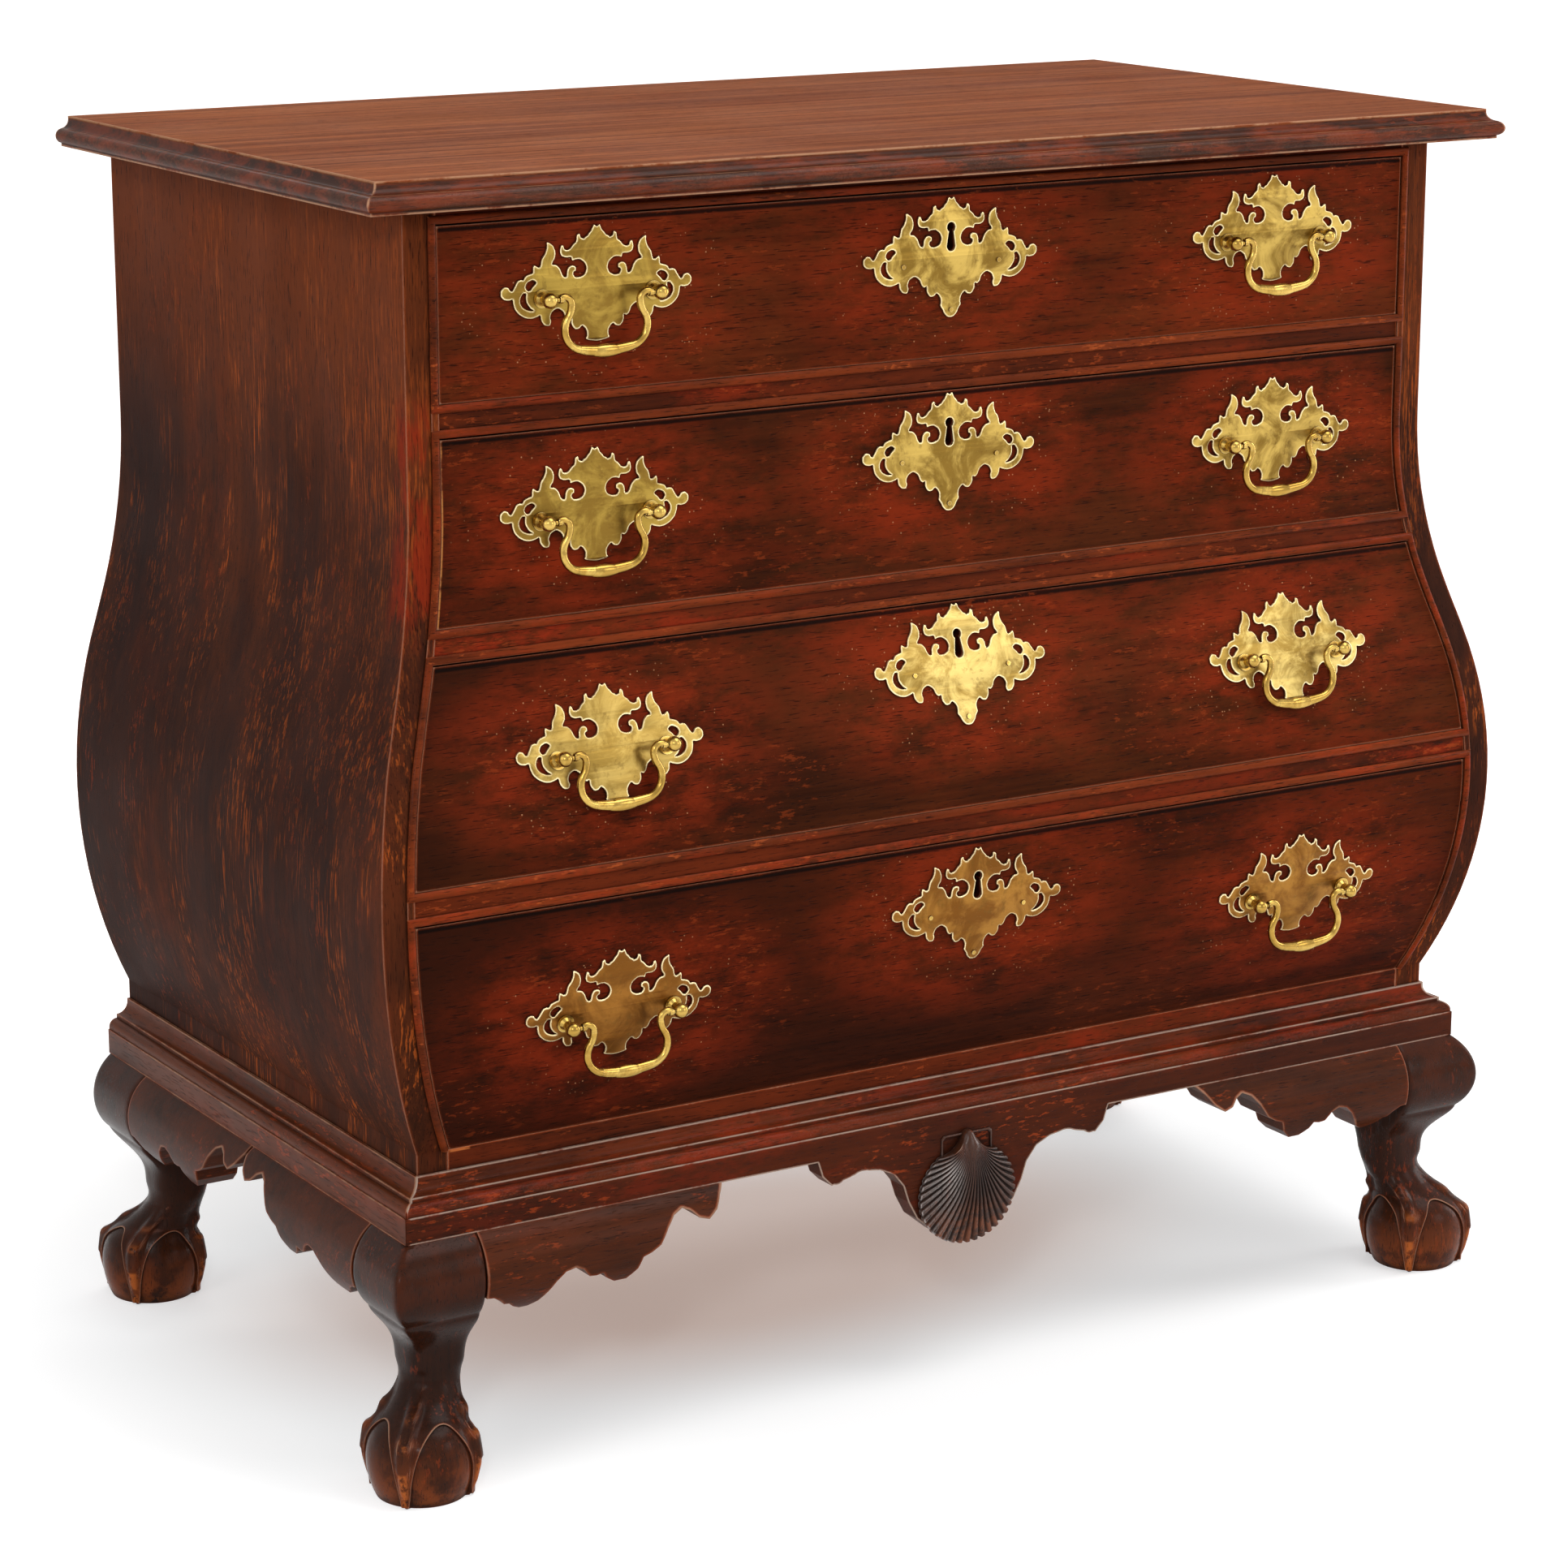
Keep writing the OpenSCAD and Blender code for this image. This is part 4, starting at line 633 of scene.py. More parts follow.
# the mouldings' pale greyish arris lines are worn edges and painted highlights together
arris_wear_and_highlight = tone(196, 172, 154)
top_wood = old_wood("top_mahogany", "x", tone(116, 60, 32), tone(150, 86, 50), tone(156, 80, 44),
                    patches=0.35, flecks=0.25, wear=1.9, shine=0.72, gloss=0.02, extra=straight_streaks,
                    edge_tone=tone(210, 160, 124), edge_width=0.0016)
side_wood = old_wood("side_mahogany", "z", tone(52, 26, 15), tone(90, 44, 23), tone(112, 48, 24),
                     patches=0.4, flecks=0.3, wear=1.1, extra=streaky_side, offset=1.7, gloss=0.03,
                     shine=0.6)
rail_wood = old_wood("rail_mahogany", "x", tone(64, 27, 13), tone(112, 44, 19), tone(160, 48, 21),
                     patches=0.8, flecks=0.4, wear=1.5, offset=2.9, edge_width=0.0013, gloss=0.03,
                     extra=chipped_band, fleck=tone(196, 86, 38))
bead_wood = old_wood("bead_mahogany", "x", tone(74, 32, 16), tone(130, 56, 25), tone(162, 56, 25),
                     patches=0.6, flecks=0.5, wear=1.0, offset=2.2, edge_width=0.0007, gloss=0.03,
                     shine=0.28, fleck=tone(204, 98, 46), edge_tone=tone(206, 132, 88))
moulding_wood = old_wood("moulding_mahogany", "x", tone(54, 24, 13), tone(106, 45, 19),
                         tone(152, 48, 21), patches=0.7, wear=2.0, offset=4.1, shine=0.3,
                         gloss=0.05, edge_width=0.0012, extra=dull_below, calm=away_from_mitre_x,
                         edge_tone=arris_wear_and_highlight)
side_moulding_wood = old_wood("side_moulding_mahogany", "y", tone(48, 26, 15), tone(104, 50, 24),
                              tone(132, 54, 24), wear=1.7, offset=5.3, shine=0.34, gloss=0.06,
                              calm=away_from_mitre_y, edge_width=0.0012, edge_tone=tone(186, 140, 108))
bracket_wood = old_wood("bracket_mahogany", "x", tone(44, 24, 14), tone(84, 40, 20), tone(106, 44, 21),
                        patches=0.4, flecks=0.45, wear=1.4, offset=6.7, shine=0.32, gloss=0.06,
                        edge_tone=tone(176, 136, 110))
foot_wood = old_wood("foot_mahogany", "z", tone(44, 25, 16), tone(82, 40, 20), tone(112, 46, 21),
                     patches=0.35, flecks=0.3, wear=1.2, offset=7.9, extra=worn_low, shine=0.24,
                     gloss=0.075, edge_width=0.0012, edge_tone=tone(190, 150, 122))
shell_wood = old_wood("shell_mahogany", "z", tone(42, 24, 16), tone(84, 46, 27), tone(110, 56, 30),
                      patches=0.3, flecks=0.25, wear=0.5, offset=9.1, shine=0.2, gloss=0.26,
                      edge_width=0.0005, extra=shell_wear_and_highlights, edge_tone=tone(196, 170, 150))
inner_wood = old_wood("pale_inner_wood", "x", tone(128, 90, 54), tone(170, 128, 82), tone(156, 106, 64),
                      patches=0.3, flecks=0.3, wear=0.3, shine=0.7, offset=3.3, fleck=tone(186, 140, 92))
block_wood = old_wood("dark_block_wood", "x", tone(52, 34, 22), tone(78, 52, 34), tone(84, 54, 34),
                      patches=0.3, flecks=0.2, wear=0.3, shine=0.7, offset=8.3)

# %% [markdown]
# ## Brass and iron
# The plates are thin rolled brass, cloudy from old polish, and bright on the bevelled rims and the
# bails, where hands rub them and where a painted highlight runs along the edges. The locks are plain
# dark iron.

# %% Metal finishes
def old_brass(name, base, cloud_colour, bright, shine=0.3, edge_width=0.0012, right_reflection_tone=None,
              dents=0.3, rims=1.5):
    """Brass with clouds, tarnish and bright rims, partly rubbed and partly painted highlight; shine is
    the roughness, and the tone given for the right, where it differs, is laid in towards the right as a
    painted lighter reflection."""
    material, tree, shader = new_material(name)
    coordinates = put(tree, "ShaderNodeTexCoord").outputs["Object"]
    # painted reflection: the plates lighter towards the right
    if right_reflection_tone:
        x = put(tree, "ShaderNodeSeparateXYZ", {0: coordinates}).outputs[0]
        base = mixed(tree, steps(tree, x, -0.2, 0.02), base, right_reflection_tone)
    mottle = noise(tree, coordinates, 34, 5, 0.66, 0.8)
    colour = mixed(tree, steps(tree, mottle, 0.4, 0.62), cloud_colour, base)
    fine_marks = noise(tree, stretched(tree, coordinates, 240, 240, 900), 1, 3, 0.6)
    tarnish = steps(tree, noise(tree, coordinates, 150, 4, 0.7), 0.55, 0.68)
    colour = layer(tree, colour, tone(96, 70, 30), tarnish, 0.4)
    # tarnish in the hollows, and painted shade under the bails and posts
    dirt_and_shade = place(tree, dirt_and_shade_group, {"Reach": 0.004})
    colour = layer(tree, colour, tone(66, 46, 20), dirt_and_shade.outputs["Dirt"], 0.7)
    # bright edges: rubbed brass and painted highlight together
    edges = place(tree, wear_group, {"Vector": coordinates, "Width": edge_width, "Amount": rims})
    colour = mixed(tree, edges.outputs["Edge"], colour, bright)
    tree.links.new(colour, shader.inputs["Base Color"])
    shader.inputs["Metallic"].default_value = 1.0
    rough = maths(tree, "ADD", product(tree, mottle, 0.25), shine - 0.08)
    rough = maths(tree, "ADD", rough, product(tree, fine_marks, 0.08), True)
    tree.links.new(rough, shader.inputs["Roughness"])
    hills = maths(tree, "ADD", product(tree, fine_marks, 0.35), noise(tree, coordinates, 60, 2))
    bump = put(tree, "ShaderNodeBump", {"Strength": dents, "Distance": 0.0005, "Height": hills})
    tree.links.new(bump.outputs[0], shader.inputs["Normal"])
    return material


rubbed_rim_and_highlight = tone(248, 232, 184)
# painted reflections: drawer 3's plates lighter, as if mirroring light above, drawer 4's darker and
# redder, as if mirroring what lies below, and each drawer's plates lighter towards the right
usual_plate = (tone(158, 130, 58), tone(122, 94, 38), tone(186, 156, 80))
plate_tones_with_reflections = {1: usual_plate, 2: usual_plate,
               3: (tone(176, 148, 80), tone(140, 112, 52), tone(204, 178, 106)),
               4: (tone(138, 92, 38), tone(108, 68, 26), tone(146, 102, 44))}
plate_brass = {}
for number, (base, clouds, right_reflection_tone) in plate_tones_with_reflections.items():
    plate_brass[number] = old_brass(f"plate_brass_{number}", base, clouds, rubbed_rim_and_highlight, 0.28,
                                    right_reflection_tone=right_reflection_tone)
bail_brass = old_brass("bail_brass", tone(192, 160, 84), tone(160, 126, 58), rubbed_rim_and_highlight, 0.16, 0.0004,
                       dents=0.05, rims=0.5)
lock_iron, tree, shader = new_material("lock_iron")
where = put(tree, "ShaderNodeTexCoord").outputs["Object"]
rust = noise(tree, where, 70, 4, 0.6)
rusty = mixed(tree, steps(tree, rust, 0.4, 0.65), tone(62, 58, 54), tone(88, 60, 42))
tree.links.new(rusty, shader.inputs["Base Color"])
tree.links.new(maths(tree, "ADD", product(tree, rust, 0.4), 0.3), shader.inputs["Roughness"])
shader.inputs["Metallic"].default_value = 0.7
print("materials:", len(bpy.data.materials))

# %% [markdown]
# ## Giving the solids their finish
# Most solids are shown as they are, and each takes one material. Their edges stay sharp in the mesh,
# because the material eases them. Solids that a finer piece stands for take theirs too, so that they
# look right wherever they are shown.

# %% Finish the solids
finishes = {
    "top_board": top_wood, "side_left": side_wood, "side_right": side_wood, "case_bottom": inner_wood,
    "back_boards": inner_wood, "runners": inner_wood, "top_rail": rail_wood, "blades": rail_wood,
    "bottom_rail": rail_wood, "base_moulding_front": moulding_wood,
    "base_moulding_sides": side_moulding_wood, "pendant_shell": shell_wood, "glue_blocks": block_wood,
}
for corner in ("front_left", "front_right", "back_left", "back_right"):
    finishes["foot_" + corner] = foot_wood
for face in ("front", "side", "back"):
    finishes["knee_brackets_" + face] = bracket_wood
for number in DRAWERS:
    drawer = f"drawer_{number}_"
    finishes[drawer + "front"] = front_wood[number]
    finishes[drawer + "plates"] = plate_brass[number]
    for part in ("sides", "back", "bottom"):
        finishes[drawer + part] = inner_wood
    for part in ("posts", "bail_left", "bail_right"):
        finishes[drawer + part] = bail_brass
    for part in ("lock", "lock_bolt"):
        finishes[drawer + part] = lock_iron
for name, material in finishes.items():
    mesh = nodes[name].data
    mesh.materials.clear()
    mesh.materials.append(material)
print("finished solids:", len(finishes), "left plain:", sorted(set(nodes) - set(finishes)))

# %% [markdown]
# ## Small changes to solids
# A copy of a solid, with some of its points moved, can stand for it. The photograph shows nothing
# below the scalloped edge beside the pendant, so the two blocks behind it are planed thinner at the
# bottom. The bails are forged thicker in the middle of the bow, within their own plane, so that they
# still lie as flat against the plates.

# %% Edited copies
def settle(name, mesh, body, slot, *stands_for):
    """A piece of a finished mesh: what it rides on, its slot, which is not used, and the solids that it
    stands for.
    """
    piece = bpy.data.objects.new(name, mesh)
    bpy.context.scene.collection.objects.link(piece)
    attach(piece, body)
    if stands_for:
        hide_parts(*stands_for)


def edited_copy(node, move):
    """A copy of a node's mesh, moved by move(point, normal). Points that share a spot move together,
    so the mesh stays closed."""
    mesh = nodes[node].data.copy()
    normals = {}
    for vertex in mesh.vertices:
        normals[tuple(vertex.co)] = normals.get(tuple(vertex.co), Vector()) + vertex.normal
    shifts = {spot: move(Vector(spot), total.normalized()) for spot, total in normals.items()}
    for vertex in mesh.vertices:
        vertex.co = vertex.co + shifts[tuple(vertex.co)]
    return mesh


planed_m = 0.009
middle_blocks_half_m = 0.15
block_low_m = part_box("glue_blocks")[0].z


def plane_block(point, normal):
    """Lifts the undersides of the two blocks behind the pendant."""
    behind = abs(point.x) < middle_blocks_half_m and point.z < block_low_m + MM / 2
    return Vector((0, 0, planed_m if behind else 0))


settle("planed_glue_blocks", edited_copy("glue_blocks", plane_block), "case", "inner_wood",
       "glue_blocks")
print("glue blocks planed:", round(block_low_m, 4), "to", round(block_low_m + planed_m, 4))

# %% Bails thicker in the middle
bail_more_m = 0.0011          # on each side, at the middle of the bow
bow_thick_half_m = 0.024      # how far to each side the thicker part reaches


def forge(low, high, hang):
    """Moves points outwards in the plane of the bail, most at the middle of the bow."""
    middle_x = (low.x + high.x) / 2
    face = Vector((1, 0, 0)).cross(hang)

    def move(point, normal):
        far = min(1, abs(point.x - middle_x) / bow_thick_half_m)
        below = min(1, max(0, (high.z - point.z) / (high.z - low.z) * 2 - 1))
        outwards = normal - face * normal.dot(face)
        return outwards * bail_more_m * (1 - far * far) * below
    return move


def hanging(node):
    """The way a bail hangs, from its highest twelfth of points to its lowest."""
    points = sorted((v.co.copy() for v in nodes[node].data.vertices), key=lambda p: p.z)
    few = len(points) // 12
    way = sum(points[:few], Vector()) / few - sum(points[-few:], Vector()) / few
    way.x = 0
    return way.normalized()


for number in DRAWERS:
    for side in ("left", "right"):
        node = f"drawer_{number}_bail_{side}"
        mesh = edited_copy(node, forge(*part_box(node), hanging(node)))
        settle(f"bail_{number}_{side}", mesh, node, "brass", node)
print("bails forged thicker by", 2 * bail_more_m)

# %% [markdown]
# ## Claw-and-ball feet
# The carver starts from a square block, rounds the knee both ways, draws the leg in to a squarish
# ankle, and lets four toes grip a ball, with a web of skin that ends in an arch between each two.
# A mesh whose columns follow the directions round the foot and whose rows follow the edge of the web
# keeps that edge crisp, so the rows are fitted to the arch of each column.

# %% The carved foot
corner_x = 0.4219                      # fascia corner, to the side of the middle
corner_front, corner_back = back_y - 0.4683, back_y - 0.0147
# radius, height, and how far inside the fascia corner the middle lies
ball_mm, ball_high_mm, ball_inset_mm = 35.5, 60.0, 15.0
ankle_mm, ankle_high_mm, ankle_inset_mm = 21.0, 78.0, 29.5
leg_mm, block_mm = 172.5, 50.0         # height of the whole foot, side of the square block
shin_mm, shin_more_mm = 19.6, 5.0      # radius over the ankle, and how much it grows up to the lip
knee_out_mm, knee_drop_mm = 14.7, 28.5
knee_round_mm = (knee_drop_mm ** 2 + knee_out_mm ** 2) / (2 * knee_out_mm)
knee_mm = leg_mm - knee_drop_mm
lip_mm = knee_mm - 0.85 * knee_drop_mm
leg_start_mm = ankle_high_mm + 8
lean_start_mm = 0.68 * ball_high_mm    # from here the foot leans in to the ankle


def smooth(t):
    """0 to 1, level at both ends."""
    t = np.clip(t, 0, 1)
    return t * t * (3 - 2 * t)


def knee_line(z):
    """How far the knee stands out past the fascia at height z."""
    drop = np.sqrt(np.maximum(knee_round_mm ** 2 - (z - knee_mm) ** 2, 0))
    return knee_out_mm - knee_round_mm + drop


def leg_line(z):
    """The same for the whole leg: the knee down to its lip, and the leg drawn in under it."""
    inner = 0.7 * ankle_mm - ankle_inset_mm
    rise = smooth((z - leg_start_mm) / (lip_mm - leg_start_mm))
    return np.where(z > lip_mm, knee_line(z), inner + (knee_line(lip_mm) - inner) * rise)


# lines over the height, as shares of the ball's height: how far the claws and the web reach out, in
# radii of the ball, and how many degrees wide a claw is to each side
claw_line = ([0, 0.05, 0.18, 0.35, 0.43, 0.455, 0.58, 0.69, 0.73, 0.785, 0.84, 0.91, 0.945, 0.98, 1.04,
              1.16, 1.4],
             [0.9, 0.96, 1.05, 1.12, 1.135, 1.16, 1.13, 1.1, 1.07, 0.92, 0.86, 0.835, 0.82, 0.74, 0.65,
              0.57, 0.55])
claw_spread = ([0, 0.3, 0.43, 0.46, 0.7, 0.93, 1.1, 1.4], [2.8, 4.8, 5.6, 7.2, 8.6, 11.0, 15, 28])
web_line = ([0.5, 0.8, 0.87, 0.95, 1.03, 1.17, 1.4], [0.98, 0.77, 0.72, 0.645, 0.585, 0.55, 0.545])
web_thick_mm, arch_half_degrees, arch_top = 1.7, 40.5, 0.86
widest, under, over = 0.42, 0.76, 0.62     # where the ball is widest, and how far it curves both ways


def foot_point(angle, z, on_web, flat_back):
    """A point of the skin, in mm out from the fascia corner, for arrays of angles and heights."""
    t = z / ball_high_mm
    from_claw = (angle + 360) % 90 - 45
    from_middle = (t - widest) / np.where(t < widest, under, over)
    ball = ball_mm * np.sqrt(np.maximum(0.01, 1 - from_middle ** 2))
    web = np.maximum(ball_mm * np.interp(t, *web_line), ball + web_thick_mm)
    base = np.where(on_web, web, ball)
    claw = ball_mm * np.interp(t, *claw_line)
    ridge = np.exp(-np.abs(from_claw / np.interp(t, *claw_spread)) ** 3.4)
    round_r = np.maximum(base, base + (claw - base) * ridge)
    lean = smooth((z - lean_start_mm) / (ankle_high_mm - lean_start_mm))
    inset = ball_inset_mm + (ankle_inset_mm - ball_inset_mm) * lean
    turn = np.radians(angle)
    cos, sin = np.cos(turn), np.sin(turn)
    # the ankle and the lower leg are round with squared corners
    swell = shin_mm + shin_more_mm * smooth((z - ankle_high_mm) / (lip_mm - ankle_high_mm))
    corners = 2 + 1.3 * smooth((z - 66) / 20)
    swell = swell * (np.abs(cos) ** corners + np.abs(sin) ** corners) ** (-1 / corners)
    blend = smooth((z - 70) / 14)
    r = round_r * (1 - blend) + swell * blend
    round_x, round_y = -inset + r * cos, -inset + r * sin
    # further up the section grows to the full square block
    out = leg_line(z)
    out_y = out + (knee_out_mm - out) * smooth((z - lip_mm + 10) / 14) if flat_back else out
    sharp = 3 + 15 * smooth((z - leg_start_mm) / (lip_mm - leg_start_mm))
    q = (np.abs(cos) ** sharp + np.abs(sin) ** sharp) ** (-1 / sharp)
    half_x, half_y = (block_mm + out) / 2, (block_mm + out_y) / 2
    square = smooth((z - ankle_high_mm - 4) / (lip_mm - ankle_high_mm))
    x = round_x + (out - half_x + half_x * q * cos - round_x) * square
    y = round_y + (out_y - half_y + half_y * q * sin - round_y) * square
    # how worn each point is: nails, knuckles, and the rim that stands on the floor
    nail = ridge * (t < 0.45) * (t > 0.0)
    knuckle = ridge * (np.exp(-((t - 0.72) / 0.035) ** 2) + 0.5 * np.exp(-((t - 0.93) / 0.03) ** 2))
    rim = 0.5 * np.exp(-((t - 0.04) / 0.05) ** 2)
    return x, y, np.clip(0.85 * nail + 0.5 * knuckle + rim, 0, 1)


def web_edge(angle):
    """Height of the web's arch over the ball, in mm."""
    from_claw = (angle + 360) % 90 - 45
    share = min(1, (45 - abs(from_claw)) / arch_half_degrees)
    return max(1.5, ball_high_mm * arch_top * (1 - 0.5 * share ** 2.3 - 0.5 * share ** 8))


columns_a_claw, rows_of_ball, rows_of_ankle, rows_of_leg, rows_of_knee = 40, 34, 44, 20, 24


def carved_foot(name, mirror_x, at_back):
    """One foot's mesh, with its columns closest together on the claws."""
    warp = np.linspace(-1, 1, columns_a_claw + 1)[1:]
    offsets = 45 * np.sign(warp) * np.abs(warp) ** 1.5
    angles = np.concatenate([90 * k + 45 + offsets for k in range(4)])
    columns, wears = [], []
    for angle in angles:
        edge = float(web_edge(angle))
        ball = np.linspace(0, edge, rows_of_ball)
        ankle = np.linspace(edge + 0.9, leg_start_mm - 2, rows_of_ankle)
        leg = np.linspace(leg_start_mm, lip_mm, rows_of_leg)
        knee = np.linspace(lip_mm + 1.5, leg_mm, rows_of_knee)
        z = np.concatenate([ball, [edge + 0.35], ankle, leg, knee])
        on_web = np.arange(len(z)) >= rows_of_ball
        x, y, wear = foot_point(np.full_like(z, angle), z, on_web, at_back)
        columns.append(np.stack([x, y, z], 1))
        wears.append(wear)
    grid = np.array(columns)
    count, rows = grid.shape[:2]
    # the mirrored and turned feet need their faces the other way round
    sign_x = -1 if mirror_x else 1
    sign_y = 1 if at_back else -1
    corner_y = corner_back if at_back else corner_front
    points = grid.reshape(-1, 3) * MM
    points[:, 0] = sign_x * (corner_x + points[:, 0])
    points[:, 1] = corner_y + sign_y * points[:, 1]
    flip = sign_x * sign_y < 0
    faces = []
    for a in range(count):
        b = (a + 1) % count
        for row in range(rows - 1):
            face = (a * rows + row, b * rows + row, b * rows + row + 1, a * rows + row + 1)
            faces.append(face[::-1] if flip else face)
    under = tuple(a * rows for a in range(count))
    over = tuple(a * rows + rows - 1 for a in range(count))
    faces.append(under if flip else under[::-1])
    faces.append(over[::-1] if flip else over)
    mesh = bpy.data.meshes.new(name)
    mesh.from_pydata(points.tolist(), [], faces)
    attribute = mesh.attributes.new("wear", "FLOAT", "POINT")
    attribute.data.foreach_set("value", np.concatenate(wears).astype(np.float32))
    mesh.shade_smooth()
    mesh.set_sharp_from_angle(angle=math.radians(38))
    mesh.materials.append(foot_wood)
    return mesh


for row in ("front", "back"):
    for side in ("left", "right"):
        corner = f"{row}_{side}"
        mesh = carved_foot("carved_foot_" + corner, side == "left", row == "back")
        settle("carved_foot_" + corner, mesh, "case", "mahogany", "foot_" + corner)
print("feet carved, faces each:", len(mesh.polygons))

# %% [markdown]
# ## The shell
# A scallop shell has ribs that fan out from its hinge to a scalloped rim. That is a rule, so Geometry
# Nodes can draw it: a grid whose columns run across the fan and whose rows run down a rib, moved into
# place by a few sums, with the width, the height, the rise and the number of ribs as inputs. The back
# is closed by drawing the grid's border in to the pendant.

# %% Shell by Geometry Nodes
shell_low, shell_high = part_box("pendant_shell")
shell_half = (shell_high.x - shell_low.x) / 2
shell_tall = shell_high.z - shell_low.z
shell_back = shell_high.y
shell_rise = shell_high.y - shell_low.y
shell_tree = bpy.data.node_groups.new("ribbed_shell", "GeometryNodeTree")
for label, start in (("Half Width", shell_half), ("Height", shell_tall), ("Rise", shell_rise),
                     ("Ribs", 30.0), ("Rib Depth", 0.0019), ("Fan", 2.5)):
    socket = shell_tree.interface.new_socket(label, in_out="INPUT", socket_type="NodeSocketFloat")
    socket.default_value = start
shell_tree.interface.new_socket("Material", in_out="INPUT", socket_type="NodeSocketMaterial")
shell_tree.interface.new_socket("Geometry", in_out="OUTPUT", socket_type="NodeSocketGeometry")
given = shell_tree.nodes.new("NodeGroupInput")
result = shell_tree.nodes.new("NodeGroupOutput")


def sum_of(operation, a, b=0.0, c=0.0, clamp=False):
    """A maths node of the shell's tree."""
    return put(shell_tree, "ShaderNodeMath", {0: a, 1: b, 2: c}, operation=operation,
               use_clamp=clamp).outputs[0]


fan_grid = put(shell_tree, "GeometryNodeMeshGrid", {"Size X": 1.0, "Size Y": 1.0, "Vertices X": 510,
                                                    "Vertices Y": 44})
position = put(shell_tree, "GeometryNodeInputPosition").outputs[0]
spot = put(shell_tree, "ShaderNodeSeparateXYZ", {0: position})
fan = sum_of("MULTIPLY", spot.outputs[0], 2.0)        # -1 to 1 across the shell
down = sum_of("ADD", spot.outputs[1], 0.5)            # 0 at the hinge, 1 at the rim
# the wave between the ribs, deep and narrow in the grooves, and the notches that it cuts in the rim
wave = sum_of("COSINE", sum_of("MULTIPLY", sum_of("MULTIPLY", fan, given.outputs["Ribs"]), math.pi))
groove = sum_of("POWER", sum_of("SUBTRACT", 0.5, sum_of("MULTIPLY", wave, 0.5)), 2.6)
late = sum_of("SUBTRACT", sum_of("MULTIPLY", down, 2.0), 1.0, clamp=True)
notch = sum_of("SUBTRACT", 1.0, sum_of("MULTIPLY", sum_of("MULTIPLY", groove, late), 0.025))
turn = sum_of("MULTIPLY", fan, given.outputs["Fan"])
swing = sum_of("SINE", sum_of("MULTIPLY", fan, 1.5))
# each rib is a curve from the hinge (0), past a middle point (1), to the rim (2)
across_0, across_1 = sum_of("MULTIPLY", swing, 0.1), sum_of("MULTIPLY", swing, 0.17)
across_2 = sum_of("MULTIPLY", sum_of("SINE", turn), notch)
fall_0 = sum_of("MULTIPLY", sum_of("MULTIPLY", swing, swing), 0.02)
fall_1 = sum_of("MULTIPLY_ADD", sum_of("COSINE", sum_of("MULTIPLY", fan, 1.25)), 0.33, 0.08)
fall_2 = sum_of("MULTIPLY_ADD", sum_of("MULTIPLY", sum_of("COSINE", turn), notch), 0.44, 0.56)
up = sum_of("SUBTRACT", 1.0, down)
share_0 = sum_of("MULTIPLY", up, up)
share_1 = sum_of("MULTIPLY", sum_of("MULTIPLY", up, down), 2.0)
share_2 = sum_of("MULTIPLY", down, down)


def blended(a, b, c):
    """The point that the three shares of a rib give."""
    first_two = sum_of("MULTIPLY_ADD", share_1, b, sum_of("MULTIPLY", share_0, a))
    return sum_of("MULTIPLY_ADD", share_2, c, first_two)


x = sum_of("MULTIPLY", blended(across_0, across_1, across_2), given.outputs["Half Width"])
z = sum_of("MULTIPLY", blended(fall_0, fall_1, fall_2),
           sum_of("MULTIPLY", given.outputs["Height"], -1.0))
# the dome that the ribs lie on, lower at the sides, and the ribs' own height
bulge = sum_of("SINE", sum_of("MULTIPLY", sum_of("POWER", down, 0.8), math.pi))
side = sum_of("MULTIPLY", fan, fan)
hinge = sum_of("SUBTRACT", 0.2, sum_of("MULTIPLY", side, 0.24))
dome = sum_of("ADD", sum_of("MULTIPLY_ADD", bulge, 0.64, 0.14), sum_of("MULTIPLY", share_0, hinge))
flank = sum_of("MULTIPLY", side, sum_of("MULTIPLY_ADD", down, 2.0, 0.4, clamp=True))
dome = sum_of("MULTIPLY", dome, sum_of("SUBTRACT", 1.0, sum_of("MULTIPLY", flank, 0.42)))
crest = sum_of("MULTIPLY_ADD", down, 2.0, -0.35, clamp=True)
rib = sum_of("MULTIPLY", sum_of("SUBTRACT", 1.0, groove), crest)
y = sum_of("MULTIPLY_ADD", rib, given.outputs["Rib Depth"],
           sum_of("MULTIPLY", dome, given.outputs["Rise"]))
placed = put(shell_tree, "ShaderNodeCombineXYZ", {0: x, 1: sum_of("MULTIPLY", y, -1.0), 2: z})
moved = put(shell_tree, "GeometryNodeSetPosition", {0: fan_grid.outputs["Mesh"],
                                                    "Position": placed.outputs[0]})
solid = put(shell_tree, "GeometryNodeRealizeInstances", {0: moved.outputs[0]})
coloured = put(shell_tree, "GeometryNodeSetMaterial", {0: solid.outputs[0],
                                                       "Material": given.outputs["Material"]})
shell_tree.links.new(coloured.outputs[0], result.inputs[0])


def plain_mesh(holder):
    """The mesh that an object comes to with its modifiers or its curve; the object goes."""
    bpy.context.scene.collection.objects.link(holder)
    made = bpy.data.meshes.new_from_object(holder.evaluated_get(bpy.context.evaluated_depsgraph_get()))
    made.name = holder.name
    bpy.data.objects.remove(holder)
    return made


def nodes_to_mesh(name, tree, values):
    """Runs a Geometry Nodes tree on an empty mesh and keeps what it makes as a plain mesh."""
    holder = bpy.data.objects.new(name, bpy.data.meshes.new(name + "_start"))
    modifier = holder.modifiers.new("maker", "NODES")
    modifier.node_group = tree
    for item in tree.interface.items_tree:
        if item.in_out == "INPUT" and item.name in values:
            modifier[item.identifier] = values[item.name]
    return plain_mesh(holder)


